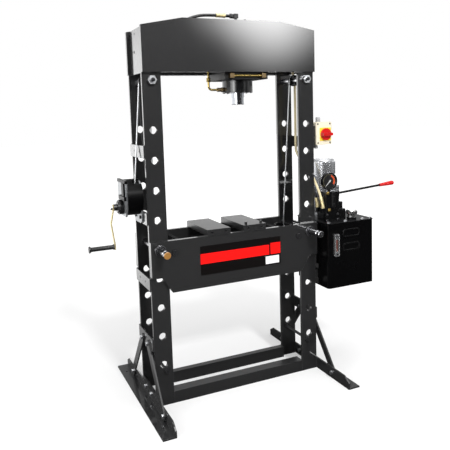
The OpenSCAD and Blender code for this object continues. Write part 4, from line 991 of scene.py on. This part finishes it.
def rubber(name, colour, roughness, weave):
    material = paint(name, colour, roughness, mottle=0.12, edge=(0.0, 0.0004))
    links = material.node_tree.links
    add = material.node_tree.nodes.new
    along = add("ShaderNodeUVMap")
    along.uv_map = "along"
    wrap = add("ShaderNodeMapping")
    wrap.inputs["Scale"].default_value = (weave, weave_turns, 1.0)
    links.new(along.outputs[0], wrap.inputs["Vector"])
    cloth = add("ShaderNodeTexWave")
    cloth.bands_direction = "DIAGONAL"
    cloth.inputs["Scale"].default_value = 1.0
    links.new(wrap.outputs[0], cloth.inputs["Vector"])
    bump = add("ShaderNodeBump")
    bump.inputs["Distance"].default_value = weave_depth
    bump.inputs["Strength"].default_value = weave_strength
    links.new(cloth.outputs["Fac"], bump.inputs["Height"])
    links.new(bump.outputs[0], material.node_tree.nodes["Principled BSDF"].inputs["Normal"])
    return material


def part_of(route, first, last):
    fine = stepped(route, ferrule_step)
    kept = []
    travelled = 0.0
    for a, b in zip(fine, fine[1:]):
        if first <= travelled <= last:
            kept.append(a)
        travelled += (b - a).length
    return kept


def ferrule(name, route, length, hose_r, body):
    def radius(travelled):
        if travelled < flare_length:
            return hose_r + flare_rise
        crimped = crimp_from < travelled < length - crimp_before_end
        pressed = crimped and travelled % crimp_pitch < crimp_width
        return hose_r + (crimp_rise if pressed else sleeve_rise)

    mesh = tube_mesh(name, part_of(route, ferrule_start, length), radius, ferrule_sides)
    return finished(name, mesh, pale_zinc, body, crease=30)


pressure_points = [
    (519, -124, 963.1), (519, -124, 970), (519, -124, 977), (514, -120, 1011), (508, -108, 1055),
    (505, -83, 1097), (494, -58, 1149), (478, -36, 1215), (473, -30, 1284), (473, -30, 1489.5),
    (473, -30, 1640), (472, -30, 1695), (461, -31, 1732), (450, -38, 1785), (416, -68, 1832),
    (360, -99.5, 1850), (250, -105.5, 1856), (0, -105.5, 1856), (-160, -103.5, 1862), (-240, -83.5, 1900),
    (-262, -36, 1960), (-214, -4, 2008), (-130, 0, 2038), (-40, 0, 2044), (11, 0, 2044), (22.9, 0, 2044),
]
return_points = [
    (519, -176, 963.1), (519, -176, 970), (519, -176, 977), (515, -166, 1019), (512, -146, 1063),
    (509, -122, 1103), (506, -95, 1139), (506, -49, 1175), (500, 0, 1213), (479, 27, 1273),
    (473, 30, 1314), (473, 30, 1489.5), (473, 30, 1640), (473, 30, 1695), (462, 31, 1732), (450, 40, 1780),
    (410, 74, 1815), (350, 103.5, 1832), (200, 105.5, 1834), (0, 105.5, 1834), (-110, 99.5, 1838),
    (-160, 56, 1852), (-121, 10, 1858), (-87, 0, 1832), (-87, 0, 1810), (-87, 0, 1798.1),
]
pressure_d, return_d = 0.016, 0.014
pressure_low_end, pressure_top_end = 0.058, 0.056
return_low_end, return_top_end = 0.066, 0.034
pressure_r, return_r = pressure_d / 2, return_d / 2
hose_black = rubber("hose_black", (0.007, 0.007, 0.0075), 0.44, 260.0)
hose_cream = rubber("hose_cream", (0.72, 0.62, 0.38), 0.46, 300.0)
pressure_line = smooth_route(pressure_points)
return_line = smooth_route(return_points)
pressure_tube = tube_mesh("pressure_line", pressure_line, pressure_r, hose_sides)
pressure_hose = finished("pressure_line", pressure_tube, hose_black, None, crease=60)
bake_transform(pressure_hose)
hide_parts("pressure_hose")
return_tube = tube_mesh("return_line", return_line, return_r, hose_sides)
return_hose = finished("return_line", return_tube, hose_cream, None, crease=60)
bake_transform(return_hose)
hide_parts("return_hose")
pressure_low = ferrule("pressure_ferrule_low", pressure_line, pressure_low_end, pressure_r, "frame")
pressure_top = ferrule("pressure_ferrule_top", pressure_line[::-1], pressure_top_end, pressure_r, "carriage")
return_low = ferrule("return_ferrule_low", return_line, return_low_end, return_r, "frame")
return_top = ferrule("return_ferrule_top", return_line[::-1], return_top_end, return_r, "carriage")
